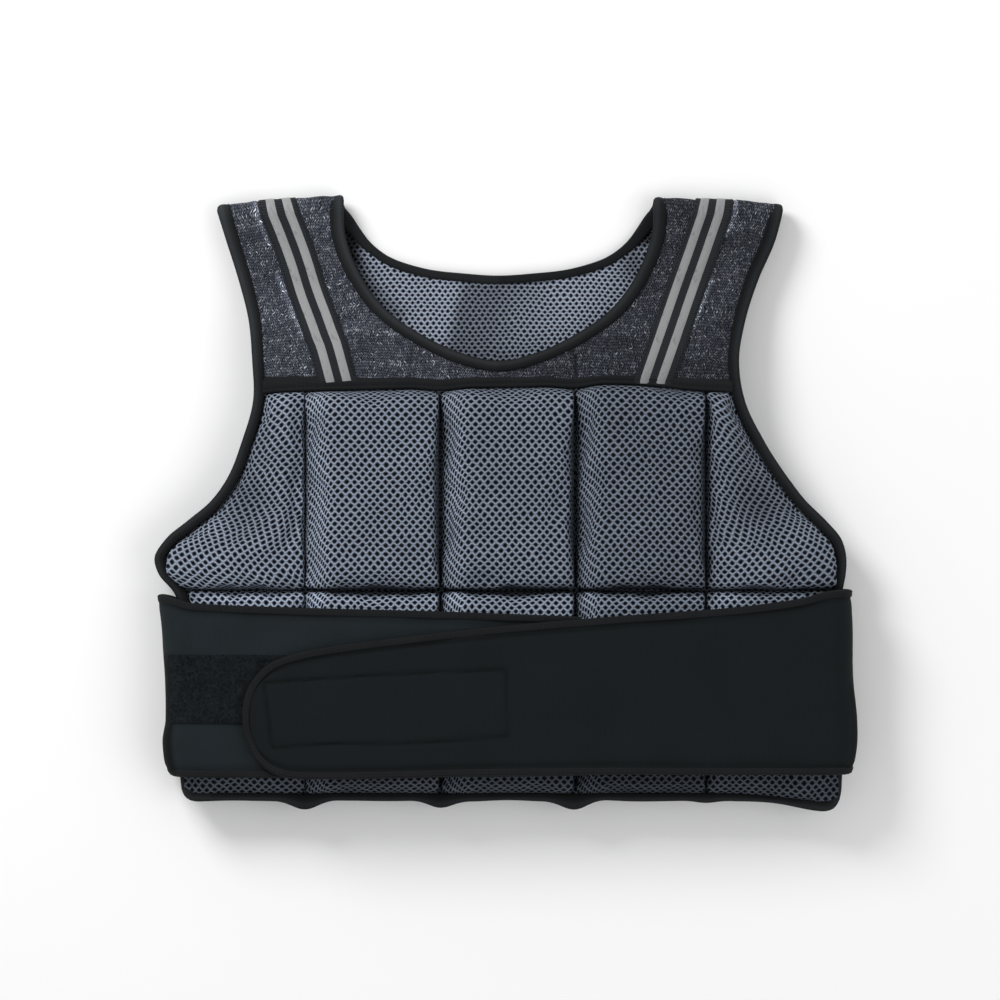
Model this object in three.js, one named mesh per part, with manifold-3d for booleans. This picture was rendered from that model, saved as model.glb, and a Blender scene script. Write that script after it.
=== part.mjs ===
// A weighted vest lying on its back: two cloth panels joined over the shoulders, rows of filled
// pockets on both, a knitted yoke, bound edges and a wide two-part belt closed at the front.
// Millimetres, +Z up, +Y towards the neck. The origin is under the middle, on the floor.

import * as THREE from "three";
import { mergeVertices } from "three/addons/utils/BufferGeometryUtils.js";
import Module from "manifold-3d";

const wasm = await Module();
wasm.setup();

// Driving dimensions
const vest_width = 556;
const vest_length = 487;
const clearance = 0.3;
const panel_wall = 3;
const torso_gap = 12;
const binding_width = 10;
const binding_wall = 1.4;
const yoke_wall = 1.5;
const band_width = 30;
const band_wall = 1.2;
const stripe_width = 7.5;
const stripe_spacing = 12;
const stripe_wall = 0.5;
const shoulder_slope = 0.08;
const shoulder_seam_back = 12;
const neck_width = 245;
const neck_centre = -6;
const front_neck_depth = 131;
const back_neck_depth = 62;
const yoke_seam_width = 8;
const yoke_seam_height = 2.4;
const yoke_seam_dip = 2;
const yoke_length = 152;
const upper_pocket_length = 155;
const pocket_gap = 2;
const pocket_crown = 20;
const lower_pocket_crown = 14;
const back_pocket_depth = 14;
const hem_droop = 8;
const hem_droop_reach = 26;
const corner_radius = 13;
const corner_points = 4;
const hem_share = 0.84;
const hem_split_share = 3;
const groove_overlap = 1;
const least_mitre_share = 0.5;
const kept_share = 0.98;
const seam_steps = 40;
const corner_inset = 3;
const belt_wall = 4;
const belt_rim_width = 5.5;
const belt_rim_wall = 1;
const belt_left_inset = 7;
const belt_right_inset = 1.5;
const belt_corner_radius = 17;
const belt_side_drop = 5;
const belt_base_end = 60;
const belt_sides_meet = 0;
const fastener_wall = 1;
const fastener_width = 53;

// The vest's edge, as shares: down of the length, left and right of half the width
const edge_rows = [
  { down: 0.0, left: 0.826, right: 0.787 },
  { down: 0.073, left: 0.793, right: 0.762 },
  { down: 0.138, left: 0.762, right: 0.719 },
  { down: 0.203, left: 0.733, right: 0.682 },
  { down: 0.268, left: 0.722, right: 0.663 },
  { down: 0.333, left: 0.719, right: 0.679 },
  { down: 0.398, left: 0.75, right: 0.733 },
  { down: 0.463, left: 0.796, right: 0.807 },
  { down: 0.496, left: 0.838, right: 0.852 },
  { down: 0.528, left: 0.904, right: 0.909 },
  { down: 0.56, left: 0.97, right: 0.955 },
  { down: 0.59, left: 1.0, right: 0.968 },
  { down: 0.615, left: 0.988, right: 0.966 },
  { down: 0.643, left: 0.947, right: 0.957 },
  { down: 0.82, left: 0.94, right: 0.955 },
  { down: 0.951, left: 0.925, right: 0.955 },
];

// Neck curves, as shares: down of the neck's depth, out of half its width
const front_neck_rows = [
  { down: 0.0, out: 1.0 },
  { down: 0.16, out: 0.995 },
  { down: 0.28, out: 0.965 },
  { down: 0.43, out: 0.9 },
  { down: 0.65, out: 0.745 },
  { down: 0.84, out: 0.48 },
  { down: 0.95, out: 0.24 },
  { down: 1.0, out: 0.0 },
];
const back_neck_rows = [
  { down: 0.0, out: 1.0 },
  { down: 0.3, out: 0.985 },
  { down: 0.5, out: 0.9 },
  { down: 0.72, out: 0.76 },
  { down: 0.91, out: 0.5 },
  { down: 0.98, out: 0.22 },
  { down: 1.0, out: 0.0 },
];

// How far the upper part sinks to the floor: along is the way from the shoulder fold, as a share
// of the yoke's length, and sunk the share of the full drop
const sink_rows = [
  { along: 0.18, sunk: 1.0 },
  { along: 0.34, sunk: 0.93 },
  { along: 0.5, sunk: 0.6 },
  { along: 0.66, sunk: 0.2 },
  { along: 0.8, sunk: 0.0 },
];

// Where the side pockets' edges are placed, as shares down their length
const side_pocket_levels = [0, 0.05, 0.15, 0.3, 0.43, 0.53, 0.64, 0.74, 0.83, 0.92, 1];

// Pocket seams across the vest, as shares of half its width
const pocket_seams = [-0.955, -0.571, -0.187, 0.196, 0.568, 0.93];

// Where the hem hangs lowest, as shares of half the width
const hem_droop_places = [-0.571, -0.187, 0.196, 0.568, 0.86];

// A filled pocket's height, as shares across it from the left and down it from the top
const pocket_across = [
  { at: 0.0, height: 0.28 },
  { at: 0.045, height: 0.56 },
  { at: 0.16, height: 0.93 },
  { at: 0.45, height: 1.0 },
  { at: 0.82, height: 0.98 },
  { at: 0.955, height: 0.84 },
  { at: 1.0, height: 0.36 },
];
const pocket_down = [
  { at: 0.0, height: 0.4 },
  { at: 0.045, height: 0.8 },
  { at: 0.14, height: 0.96 },
  { at: 0.5, height: 1.0 },
  { at: 0.86, height: 0.98 },
  { at: 0.96, height: 0.8 },
  { at: 1.0, height: 0.34 },
];

// The same for the back's pockets, which the floor presses flat
const back_pocket_across = [
  { at: 0.0, height: 0.4 },
  { at: 0.05, height: 0.75 },
  { at: 0.16, height: 1.0 },
  { at: 0.9, height: 1.0 },
  { at: 1.0, height: 0.45 },
];
const back_pocket_down = [
  { at: 0.0, height: 0.5 },
  { at: 0.08, height: 1.0 },
  { at: 0.92, height: 1.0 },
  { at: 1.0, height: 0.45 },
];

// Dents of the two side pockets: across is a share of half the vest's width, down of its length
const pocket_dents = [
  { column: 0, across: -0.77, down: 0.5, reach: 42, depth: 0.42 },
  { column: 4, across: 0.78, down: 0.46, reach: 40, depth: 0.4 },
];

// Reflective bands: middle of the band across the vest, as shares of half its width, along the
// yoke from the fold to the yoke seam
const band_rows = {
  left: [
    { along: 0.0, across: -0.654 },
    { along: 0.6, across: -0.552 },
    { along: 1.0, across: -0.48 },
  ],
  right: [
    { along: 0.0, across: 0.598 },
    { along: 0.6, across: 0.5 },
    { along: 1.0, across: 0.426 },
  ],
};

// Belt edges, as shares: across of half the vest's width, top and bottom down its length
const belt_base_rows = [
  { across: -1.08, top: 0.648, bottom: 0.944 },
  { across: -0.97, top: 0.648, bottom: 0.944 },
  { across: -0.88, top: 0.662, bottom: 0.945 },
  { across: -0.6, top: 0.669, bottom: 0.945 },
  { across: -0.2, top: 0.675, bottom: 0.944 },
  { across: 0.0, top: 0.679, bottom: 0.943 },
  { across: 0.216, top: 0.684, bottom: 0.941 },
];
const belt_flap_rows = [
  { across: 1.08, top: 0.64, bottom: 0.94 },
  { across: 0.96, top: 0.64, bottom: 0.94 },
  { across: 0.83, top: 0.655, bottom: 0.94 },
  { across: 0.64, top: 0.669, bottom: 0.94 },
  { across: 0.31, top: 0.683, bottom: 0.939 },
  { across: -0.02, top: 0.699, bottom: 0.941 },
  { across: -0.37, top: 0.722, bottom: 0.946 },
  { across: -0.5, top: 0.732, bottom: 0.947 },
  { across: -0.597, top: 0.743, bottom: 0.946 },
  { across: -0.66, top: 0.756, bottom: 0.937 },
  { across: -0.705, top: 0.777, bottom: 0.917 },
  { across: -0.737, top: 0.808, bottom: 0.884 },
  { across: -0.748, top: 0.84, bottom: 0.856 },
];

// Loop and hook patches along the belt, as shares of half the vest's width
const loop_patch_span = { from: -0.93, to: 0.0 };
const hook_patch_span = { from: -0.65, to: 0.0 };
const fastener_middle = 0.806;

// Sizes worked out from the driving dimensions
const half_width = vest_width / 2;
const belt_left = half_width - belt_left_inset;
const belt_right = half_width - belt_right_inset;
const top_y = vest_length / 2;
const half_wall = panel_wall / 2;
const binding_half = half_wall + clearance + binding_wall;
const fold_radius = (torso_gap + panel_wall) / 2;
const fold_quarter = (fold_radius * Math.PI) / 2;
const yoke_offset = half_wall + clearance;
const band_offset = yoke_offset + yoke_wall + clearance;
const stripe_offset = band_offset + band_wall + clearance;
const back_belt_z = belt_rim_wall + clearance + belt_wall / 2;
const rim_reach = belt_wall / 2 + clearance + belt_rim_wall;
const back_pocket_floor = back_belt_z + rim_reach + clearance;
const back_panel_z = back_pocket_floor + back_pocket_depth + clearance + half_wall;
const fold_z = back_panel_z + fold_radius;
const front_pocket_z = fold_z + fold_radius + half_wall + clearance;
const base_z = front_pocket_z + lower_pocket_crown + clearance + rim_reach;
const flap_z = base_z + 2 * rim_reach + clearance;
const full_sink = fold_z - fold_radius - stripe_offset - stripe_wall;
const yoke_seam_y = top_y - yoke_length;
const upper_pockets_y = yoke_seam_y - yoke_seam_width / 2 - clearance;
const lower_pockets_y = upper_pockets_y - upper_pocket_length - pocket_gap;
const hem_y = -vest_length / 2 + hem_droop;
const pocket_margin = binding_width + 5 * clearance;
const lower_pocket_length = lower_pockets_y - hem_y - pocket_margin - clearance;
const far = vest_width;

// How many steps the smooth outlines take
const hem_count = 20;
const neck_count = 22;
const belt_count = 8;

// Plain helpers
const downToY = (share) => top_y - share * vest_length;
const byRows = (rows, key, column, value) => {
  const last = rows.length - 1;
  const upward = rows[last][key] > rows[0][key];
  const sorted = upward ? rows : [...rows].reverse();
  if (value <= sorted[0][key]) return sorted[0][column];
  if (value >= sorted[last][key]) return sorted[last][column];
  const i = sorted.findIndex((row) => row[key] > value) - 1;
  const share = (value - sorted[i][key]) / (sorted[i + 1][key] - sorted[i][key]);
  return THREE.MathUtils.lerp(sorted[i][column], sorted[i + 1][column], share);
};

// A smooth line through points, as evenly spread points
const smoothLine = (points, count) => new THREE.SplineCurve(points).getSpacedPoints(count);

// How far a point is from a line of points
const distanceTo = (points, point) => {
  const nearest = new THREE.Vector3();
  const flat = new THREE.Vector3(point.x, point.y, 0);
  const distances = points.slice(1).map((end, i) => {
    const from = new THREE.Vector3(points[i].x, points[i].y, 0);
    const segment = new THREE.Line3(from, new THREE.Vector3(end.x, end.y, 0));
    return segment.closestPointToPoint(flat, true, nearest).distanceTo(flat);
  });
  return Math.min(...distances);
};

// Moves a line of points sideways, to its right as it runs, and drops points that fold back
const offsetLine = (points, distance) => {
  const moved = points.map((point, i) => {
    const before = points[Math.max(i - 1, 0)];
    const after = points[Math.min(i + 1, points.length - 1)];
    const into = point.clone().sub(before);
    const out = after.clone().sub(point);
    const first = (i > 0 ? into : out).clone().normalize();
    const second = (i < points.length - 1 ? out : into).clone().normalize();
    const along = first.clone().add(second).normalize();
    const mitre = Math.max(along.dot(first), least_mitre_share);
    return new THREE.Vector2(along.y, -along.x).multiplyScalar(distance / mitre).add(point);
  });
  const least = kept_share * Math.abs(distance);
  return moved.filter((point) => distanceTo(points, point) >= least);
};

// Turns a geometry's faces outwards and leaves it with merged points only
const plainGeometry = (geometry) => {
  geometry.deleteAttribute("normal");
  geometry.deleteAttribute("uv");
  const merged = mergeVertices(geometry, 1e-4);
  const at = merged.attributes.position;
  const index = merged.index.array;
  const [a, b, c] = [new THREE.Vector3(), new THREE.Vector3(), new THREE.Vector3()];
  let volume = 0;
  for (let i = 0; i < index.length; i += 3) {
    a.fromBufferAttribute(at, index[i]);
    b.fromBufferAttribute(at, index[i + 1]);
    c.fromBufferAttribute(at, index[i + 2]);
    volume += a.dot(b.cross(c));
  }
  if (volume < 0) {
    for (let i = 0; i < index.length; i += 3) {
      [index[i], index[i + 1]] = [index[i + 1], index[i]];
    }
  }
  return merged;
};

const toSolid = (geometry) => {
  const plain = plainGeometry(geometry);
  const vertProperties = new Float32Array(plain.attributes.position.array);
  const triVerts = new Uint32Array(plain.index.array);
  return new wasm.Manifold(new wasm.Mesh({ numProp: 3, vertProperties, triVerts }));
};

const toGeometry = (solid) => {
  const mesh = solid.getMesh();
  const geometry = new THREE.BufferGeometry();
  geometry.setAttribute("position", new THREE.BufferAttribute(mesh.vertProperties.slice(), 3));
  geometry.setIndex(new THREE.BufferAttribute(mesh.triVerts.slice(), 1));
  geometry.computeVertexNormals();
  return geometry;
};

// A box of columns and rows whose points are put where place(column, row, side) says
const shapedBox = (columns, rows, place) => {
  const box = new THREE.BoxGeometry(columns, rows, 1, columns, rows, 1);
  box.translate(columns / 2, rows / 2, 0.5);
  const at = box.attributes.position;
  for (let i = 0; i < at.count; i++) {
    const column = Math.round(at.getX(i));
    const row = Math.round(at.getY(i));
    at.setXYZ(i, ...place(column, row, Math.round(at.getZ(i))));
  }
  return box;
};

// An upright prism over a closed outline in plan
const prism = (outline) => {
  const height = 2 * far;
  const shape = new THREE.Shape(outline);
  const geometry = new THREE.ExtrudeGeometry(shape, { depth: height, bevelEnabled: false });
  geometry.translate(0, 0, -height / 2);
  return toSolid(geometry);
};

const rectangle = (x0, y0, x1, y1) => [
  new THREE.Vector2(x0, y0),
  new THREE.Vector2(x1, y0),
  new THREE.Vector2(x1, y1),
  new THREE.Vector2(x0, y1),
];

// The folded cloth: v runs from the shoulder fold, down the front above 0 and the back below 0
const foldY = (x) => {
  const outward = Math.max(Math.abs(x) - neck_width / 2, 0);
  return top_y - fold_radius - binding_half - shoulder_slope * outward;
};

const sinkAt = (v) => {
  const along = (Math.abs(v) - fold_quarter) / yoke_length;
  return full_sink * byRows(sink_rows, "along", "sunk", along);
};

const layCloth = (x, v, offset) => {
  const reach = fold_radius + offset;
  const turn = THREE.MathUtils.clamp(v / fold_radius, -Math.PI / 2, Math.PI / 2);
  const run = Math.max(Math.abs(v) - fold_quarter, 0);
  const y = foldY(x) - run + reach * Math.cos(turn);
  const z = fold_z + reach * Math.sin(turn);
  return [x, y, z - sinkAt(v)];
};

// Every layer of cloth breaks at the same lines, so layers one over the other stay parallel
const fold_steps = [0, 1 / 3, 2 / 3, 1].map((share) => share * fold_quarter);
const sink_steps = sink_rows.map((row) => fold_quarter + row.along * yoke_length);
const cloth_end = 1.2 * vest_length;
const half_steps = [...fold_steps, ...sink_steps, cloth_end];
const cloth_lines = [...half_steps.slice(1).map((v) => -v).reverse(), ...half_steps];
const seam_line = -(fold_quarter + shoulder_seam_back);

const clothLayer = (lower, upper, from = -cloth_end, to = cloth_end) => {
  const inner = cloth_lines.filter((v) => v > from && v < to);
  const lines = [from, ...inner, to];
  const across = [-far, -neck_width / 2, neck_width / 2, far];
  const geometry = shapedBox(across.length - 1, lines.length - 1, (column, row, side) =>
    layCloth(across[column], lines[row], side ? upper : lower),
  );
  return toSolid(geometry);
};

// Plan outlines
const hemDroop = (x) => {
  const droops = hem_droop_places.map((place) => {
    const away = Math.min(Math.abs(x - place * half_width) / hem_droop_reach, 1);
    return 0.5 + 0.5 * Math.cos(away * Math.PI);
  });
  return hem_droop * Math.max(...droops);
};

const sideLine = (side) => {
  const sign = side === "left" ? -1 : 1;
  return edge_rows.map(
    (row) => new THREE.Vector2(sign * row[side] * half_width, downToY(row.down)),
  );
};

const cornerLine = (start, end, turn) => {
  const corner = new THREE.Vector2(turn.x, turn.y);
  return new THREE.QuadraticBezierCurve(start, corner, end).getPoints(corner_points).slice(1, -1);
};

const vestEdge = () => {
  const left = sideLine("left");
  const right = sideLine("right").reverse();
  const start = left[left.length - 1];
  const end = right[0];
  const hem_start = start.x + corner_radius;
  const hem_end = end.x - corner_radius;
  const hem = Array.from({ length: hem_count + 1 }, (_, i) => {
    const x = THREE.MathUtils.lerp(hem_start, hem_end, i / hem_count);
    return new THREE.Vector2(x, hem_y - hemDroop(x));
  });
  const left_turn = new THREE.Vector2(start.x, hem[0].y);
  const right_turn = new THREE.Vector2(end.x, hem[hem_count].y);
  return [
    new THREE.Vector2(left[0].x, far),
    ...left,
    ...cornerLine(start, hem[0], left_turn),
    ...hem,
    ...cornerLine(hem[hem_count], end, right_turn),
    ...right,
    new THREE.Vector2(right[right.length - 1].x, far),
  ];
};

const neckEdge = (rows, depth) => {
  const crest = top_y - fold_radius;
  const half = (sign) =>
    rows.map((row) => {
      const x = neck_centre + (sign * row.out * neck_width) / 2;
      return new THREE.Vector2(x, crest - row.down * (depth - fold_radius));
    });
  const left = half(-1);
  const right = half(1).reverse().slice(1);
  const line = smoothLine([...left, ...right], neck_count);
  const top_left = new THREE.Vector2(line[0].x, far);
  const top_right = new THREE.Vector2(line[line.length - 1].x, far);
  return [top_left, ...line, top_right];
};

const edge_line = vestEdge();
const neck_lines = {
  front: neckEdge(front_neck_rows, front_neck_depth),
  back: neckEdge(back_neck_rows, back_neck_depth),
};

// Regions in plan: inside the vest's edge, and inside a neck opening widened by some distance
const vestArea = (inward) => prism(offsetLine(edge_line, inward * -1));
const neckArea = (side, outward) => prism(offsetLine(neck_lines[side], outward));

const panel_inset = clearance + binding_wall;
const yokeDip = (x) => {
  const dips = pocket_seams.slice(2, 4).map((seam) => {
    const away = Math.min(Math.abs(x - seam * half_width) / hem_droop_reach, 1);
    return 0.5 + 0.5 * Math.cos(away * Math.PI);
  });
  return yoke_seam_dip * Math.max(...dips);
};
const seamLine = (shift, count) =>
  Array.from({ length: count + 1 }, (_, i) => {
    const x = THREE.MathUtils.lerp(-half_width, half_width, i / count);
    return new THREE.Vector2(x, yoke_seam_y - yokeDip(x) + shift);
  });
const above = (shift) => {
  const line = seamLine(shift, seam_steps);
  return prism([...line, new THREE.Vector2(half_width, far), new THREE.Vector2(-half_width, far)]);
};

// The finished group
const vest = new THREE.Group();
vest.name = "weighted_vest";

const addPiece = (name, geometry, finish) => {
  const mesh = new THREE.Mesh(geometry, new THREE.MeshStandardMaterial(finish));
  mesh.name = name;
  vest.add(mesh);
};

const finishes = {
  mesh: { color: 0x5f6978, roughness: 0.9, metalness: 0 },
  knit: { color: 0x40464d, roughness: 0.95, metalness: 0 },
  binding: { color: 0x1b1e21, roughness: 0.8, metalness: 0 },
  webbing: { color: 0x17191b, roughness: 0.85, metalness: 0 },
  reflective: { color: 0x8f9091, roughness: 0.5, metalness: 0.1 },
  neoprene: { color: 0x1d2225, roughness: 0.9, metalness: 0 },
  loop: { color: 0x101214, roughness: 1, metalness: 0 },
};

const addSolid = (name, solid, finish) => addPiece(name, toGeometry(solid), finishes[finish]);

// Panels: one sheet over the front and the shoulder fold, one over the back
const addPanels = () => {
  const area = vestArea(panel_inset);
  const front = clothLayer(-half_wall, half_wall, seam_line, cloth_end);
  const back = clothLayer(-half_wall, half_wall, -cloth_end, seam_line - clearance);
  const front_cut = front.intersect(area).subtract(neckArea("front", panel_inset));
  const back_cut = back.intersect(area).subtract(neckArea("back", panel_inset));
  addSolid("front_panel", front_cut, "mesh");
  addSolid("back_panel", back_cut, "mesh");
};

// Yokes: the knitted layer over the upper chest, the shoulders and the upper back
const addYokes = () => {
  const inset = binding_width + clearance;
  const area = vestArea(inset).intersect(above(yoke_seam_width / 2 + clearance));
  const lower = yoke_offset;
  const upper = yoke_offset + yoke_wall;
  const front = clothLayer(lower, upper, seam_line, cloth_end);
  const back = clothLayer(lower, upper, -cloth_end, seam_line - clearance);
  addSolid("front_yoke", front.intersect(area).subtract(neckArea("front", inset)), "knit");
  addSolid("back_yoke", back.intersect(area).subtract(neckArea("back", inset)), "knit");
};

// Yoke seams: the dark cord-like strip between the yoke and the upper pockets
const addYokeSeams = () => {
  const inset = binding_width + clearance;
  const strip = vestArea(inset)
    .intersect(above(-yoke_seam_width / 2))
    .subtract(above(yoke_seam_width / 2));
  const upper = yoke_offset + yoke_seam_height;
  const front = clothLayer(yoke_offset, upper, 0, cloth_end).intersect(strip);
  const back = clothLayer(yoke_offset, upper, -cloth_end, 0).intersect(strip);
  addSolid("front_yoke_seam", front, "binding");
  addSolid("back_yoke_seam", back, "binding");
};

// Bindings: folded tape that wraps the panels' edges, a channel in section
const binding = (from, to, outer, slot, inner) => {
  const tape = clothLayer(-binding_half, binding_half, from, to);
  const groove = clothLayer(-yoke_offset, yoke_offset, from - groove_overlap, to + groove_overlap);
  return tape.intersect(outer.subtract(inner)).subtract(groove.intersect(slot));
};

const addEdgeBindings = () => {
  const outer = vestArea(0);
  const slot = vestArea(binding_wall);
  const inner = vestArea(binding_width);
  const split_x = half_width * hem_share;
  const split_y = hem_y + hem_split_share * corner_radius;
  const hem_area = prism(rectangle(-split_x, -far, split_x, split_y));
  const sideArea = (sign) => {
    const from = sign * (split_x + clearance);
    const points = [
      new THREE.Vector2(sign * far, -far),
      new THREE.Vector2(sign * far, far),
      new THREE.Vector2(0, far),
      new THREE.Vector2(0, split_y),
      new THREE.Vector2(from, split_y),
      new THREE.Vector2(from, -far),
    ];
    return prism(points);
  };
  const whole = binding(-cloth_end, cloth_end, outer, slot, inner);
  addSolid("left_side_binding", whole.intersect(sideArea(-1)), "binding");
  addSolid("right_side_binding", whole.intersect(sideArea(1)), "binding");
  const front = binding(0, cloth_end, outer, slot, inner).intersect(hem_area);
  const back = binding(-cloth_end, 0, outer, slot, inner).intersect(hem_area);
  addSolid("front_hem_binding", front, "binding");
  addSolid("back_hem_binding", back, "binding");
};

const addNeckBinding = () => {
  const half = (side, from, to) => {
    const outer = neckArea(side, binding_width);
    const slot = neckArea(side, binding_wall);
    const tape = clothLayer(-binding_half, binding_half, from, to);
    const whole = clothLayer(-yoke_offset, yoke_offset, from - groove_overlap, to + groove_overlap);
    const groove = whole.subtract(slot);
    return tape.intersect(outer).subtract(neckArea(side, 0)).subtract(groove);
  };
  const front = half("front", 0, cloth_end);
  const back = half("back", -cloth_end, 0);
  addSolid("neck_binding", front.add(back), "binding");
};

// Reflective bands: webbing over each shoulder with two bright stripes on it
const addBands = (side) => {
  const crest = top_y - fold_radius;
  const rows = band_rows[side];
  const line = rows.map((row) => {
    const y = crest - row.along * (crest - yoke_seam_y);
    return new THREE.Vector2(row.across * half_width, y);
  });
  const end = line[line.length - 1];
  const lean = end.clone().sub(line[line.length - 2]);
  const beyond = end.clone().add(lean);
  const middle = [new THREE.Vector2(line[0].x, far), ...line.slice(0, -1), beyond];
  const strip = (shift, width) => {
    const left = offsetLine(middle, shift - width / 2);
    const right = offsetLine(middle, shift + width / 2).reverse();
    return prism([...left, ...right]);
  };
  const area = above(yoke_seam_width / 2 + clearance);
  const band = clothLayer(band_offset, band_offset + band_wall);
  const tape = clothLayer(stripe_offset, stripe_offset + stripe_wall);
  addSolid(`${side}_band`, band.intersect(area).intersect(strip(0, band_width)), "webbing");
  for (const [name, shift] of [["first", -stripe_spacing / 2], ["second", stripe_spacing / 2]]) {
    const stripe = tape.intersect(area).intersect(strip(shift, stripe_width));
    addSolid(`${side}_stripe_${name}`, stripe, "reflective");
  }
};

// Filled pockets: column 0 is at the left, and the side ones follow the armholes
const pocket_edge = offsetLine(edge_line, -pocket_margin);
const edgeAt = (y, sign) => {
  const crossings = pocket_edge.slice(1).flatMap((end, i) => {
    const start = pocket_edge[i];
    const crosses = (start.y - y) * (end.y - y) <= 0 && start.y !== end.y;
    return crosses ? [start.clone().lerp(end, (y - start.y) / (end.y - start.y)).x] : [];
  });
  return sign * Math.max(...crossings.map((x) => sign * x));
};

const pocketSide = (column, y, end) => {
  const seam = pocket_seams[column + end] * half_width;
  const gap = (end ? -1 : 1) * (pocket_gap / 2);
  if (end === 0 && column === 0) return Math.max(seam + gap, edgeAt(y, -1));
  if (end === 1 && column === pocket_seams.length - 2) return Math.min(seam + gap, edgeAt(y, 1));
  return seam + gap;
};

const dentAt = (column, x, y) => {
  const dents = pocket_dents.filter((dent) => dent.column === column);
  return dents.reduce((share, dent) => {
    const away = Math.hypot(x - dent.across * half_width, y - downToY(dent.down));
    return share * (1 - dent.depth * Math.exp(-((away / dent.reach) ** 2)));
  }, 1);
};

// How far the belt lies lower away from the middle
const beltDrop = (x) => {
  const reach = Math.min(belt_left, belt_right) - belt_wall / 2 - belt_corner_radius;
  return belt_side_drop * Math.min(Math.abs(x) / reach, 1) ** 2;
};

const addPocket = (name, column, row, across_rows, down_rows, place) => {
  const columns = across_rows.length - 1;
  const at_side = column === 0 || column === pocket_seams.length - 2;
  const plain_levels = down_rows.map((down) => down.at);
  const levels = at_side && row.name === "upper" ? side_pocket_levels : plain_levels;
  const rows = levels.length - 1;
  const geometry = shapedBox(columns, rows, (i, j, side) => {
    const at = levels[rows - j];
    const height = byRows(down_rows, "at", "height", at);
    const across = across_rows[i];
    const level = row.top - at * row.length;
    const at_end = j === 0 || j === rows;
    const inset = at_end ? corner_inset : 0;
    const left = pocketSide(column, level, 0) + inset;
    const right = pocketSide(column, level, 1) - inset;
    const x = THREE.MathUtils.lerp(left, right, across.at);
    const y = level - (1 - at) * row.dip(x);
    return [x, y, place(x, y, across.height * height, side)];
  });
  addPiece(name, plainGeometry(geometry), finishes.mesh);
};

const addPockets = () => {
  const rows = [
    {
      name: "upper",
      top: upper_pockets_y,
      length: upper_pocket_length,
      crown: pocket_crown,
      dip: yokeDip,
    },
    {
      name: "lower",
      top: lower_pockets_y,
      length: lower_pocket_length,
      crown: lower_pocket_crown,
      dip: () => 0,
    },
  ];
  const back_top = back_panel_z - half_wall - clearance;
  for (const row of rows) {
    const back_floor = row.name === "upper" ? 0 : back_pocket_floor;
    const under_belt = row.name === "lower";
    const crownAt = (x) => row.crown - (under_belt ? beltDrop(x) : 0);
    for (let column = 0; column < pocket_seams.length - 1; column++) {
      const number = column + 1;
      const front = (x, y, share, side) =>
        front_pocket_z + side * share * dentAt(column, x, y) * crownAt(x);
      const back = (x, y, share, side) => back_top - (1 - side) * share * (back_top - back_floor);
      const front_name = `front_pocket_${row.name}_${number}`;
      const back_name = `back_pocket_${row.name}_${number}`;
      addPocket(front_name, column, row, pocket_across, pocket_down, front);
      addPocket(back_name, column, row, back_pocket_across, back_pocket_down, back);
    }
  }
};

// The belt: a band bent round one side of the vest, drawn as its section from above and below
const beltSection = (side, height, inner, outer) => {
  const reach = side < 0 ? belt_left : belt_right;
  const middle = reach - belt_wall / 2;
  const radius = belt_corner_radius;
  const shoulder = height - belt_side_drop;
  const points = [];
  const add = (x, z, nx, nz) => points.push({ x, z, nx, nz });
  add(belt_sides_meet + clearance / 2, back_belt_z, 0, -1);
  const corner = (x, z, from, to) => {
    for (let i = 0; i <= 3; i++) {
      const angle = THREE.MathUtils.lerp(from, to, i / 3);
      const [cos, sin] = [Math.cos(angle), Math.sin(angle)];
      add(x + radius * cos, z + radius * sin, cos, sin);
    }
  };
  corner(middle - radius, back_belt_z + radius, -Math.PI / 2, 0);
  corner(middle - radius, shoulder - radius, 0, Math.PI / 2);
  for (let i = 1; i <= belt_count; i++) {
    const x = THREE.MathUtils.lerp(middle - radius, -half_width, i / belt_count);
    add(x, height - beltDrop(x), 0, 1);
  }
  const line = (offset) =>
    points.map((p) => new THREE.Vector2(side * (p.x + offset * p.nx), p.z + offset * p.nz));
  const outline = [...line(outer), ...line(inner).reverse()];
  const geometry = new THREE.ExtrudeGeometry(new THREE.Shape(outline), {
    depth: 2 * far,
    bevelEnabled: false,
  });
  geometry.translate(0, 0, -far);
  geometry.rotateX(Math.PI / 2);
  return toSolid(geometry);
};

const beltArea = (rows, inward) => {
  const top = rows.map((row) => new THREE.Vector2(row.across * half_width, downToY(row.top)));
  const low = rows.map((row) => new THREE.Vector2(row.across * half_width, downToY(row.bottom)));
  const line = [...top, ...low.reverse()];
  const clockwise = THREE.ShapeUtils.isClockWise(line);
  return prism(offsetLine(line, clockwise ? inward : -inward));
};

const addBeltPart = (name, side, height, rows, from_x) => {
  const keep = prism(rectangle(...from_x));
  const half = belt_wall / 2;
  const cover = half + clearance + belt_rim_wall;
  const strap = beltSection(side, height, -half, half);
  const inset = clearance + belt_rim_wall;
  addSolid(name, strap.intersect(beltArea(rows, inset)).intersect(keep), "neoprene");
  const tape = beltSection(side, height, -cover, cover);
  const groove = beltSection(side, height, -half - clearance, half + clearance);
  const rim_area = beltArea(rows, 0).subtract(beltArea(rows, belt_rim_width));
  const rim = tape
    .intersect(rim_area)
    .intersect(keep)
    .subtract(groove.intersect(beltArea(rows, belt_rim_wall)));
  addSolid(`${name}_rim`, rim, "binding");
};

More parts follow.
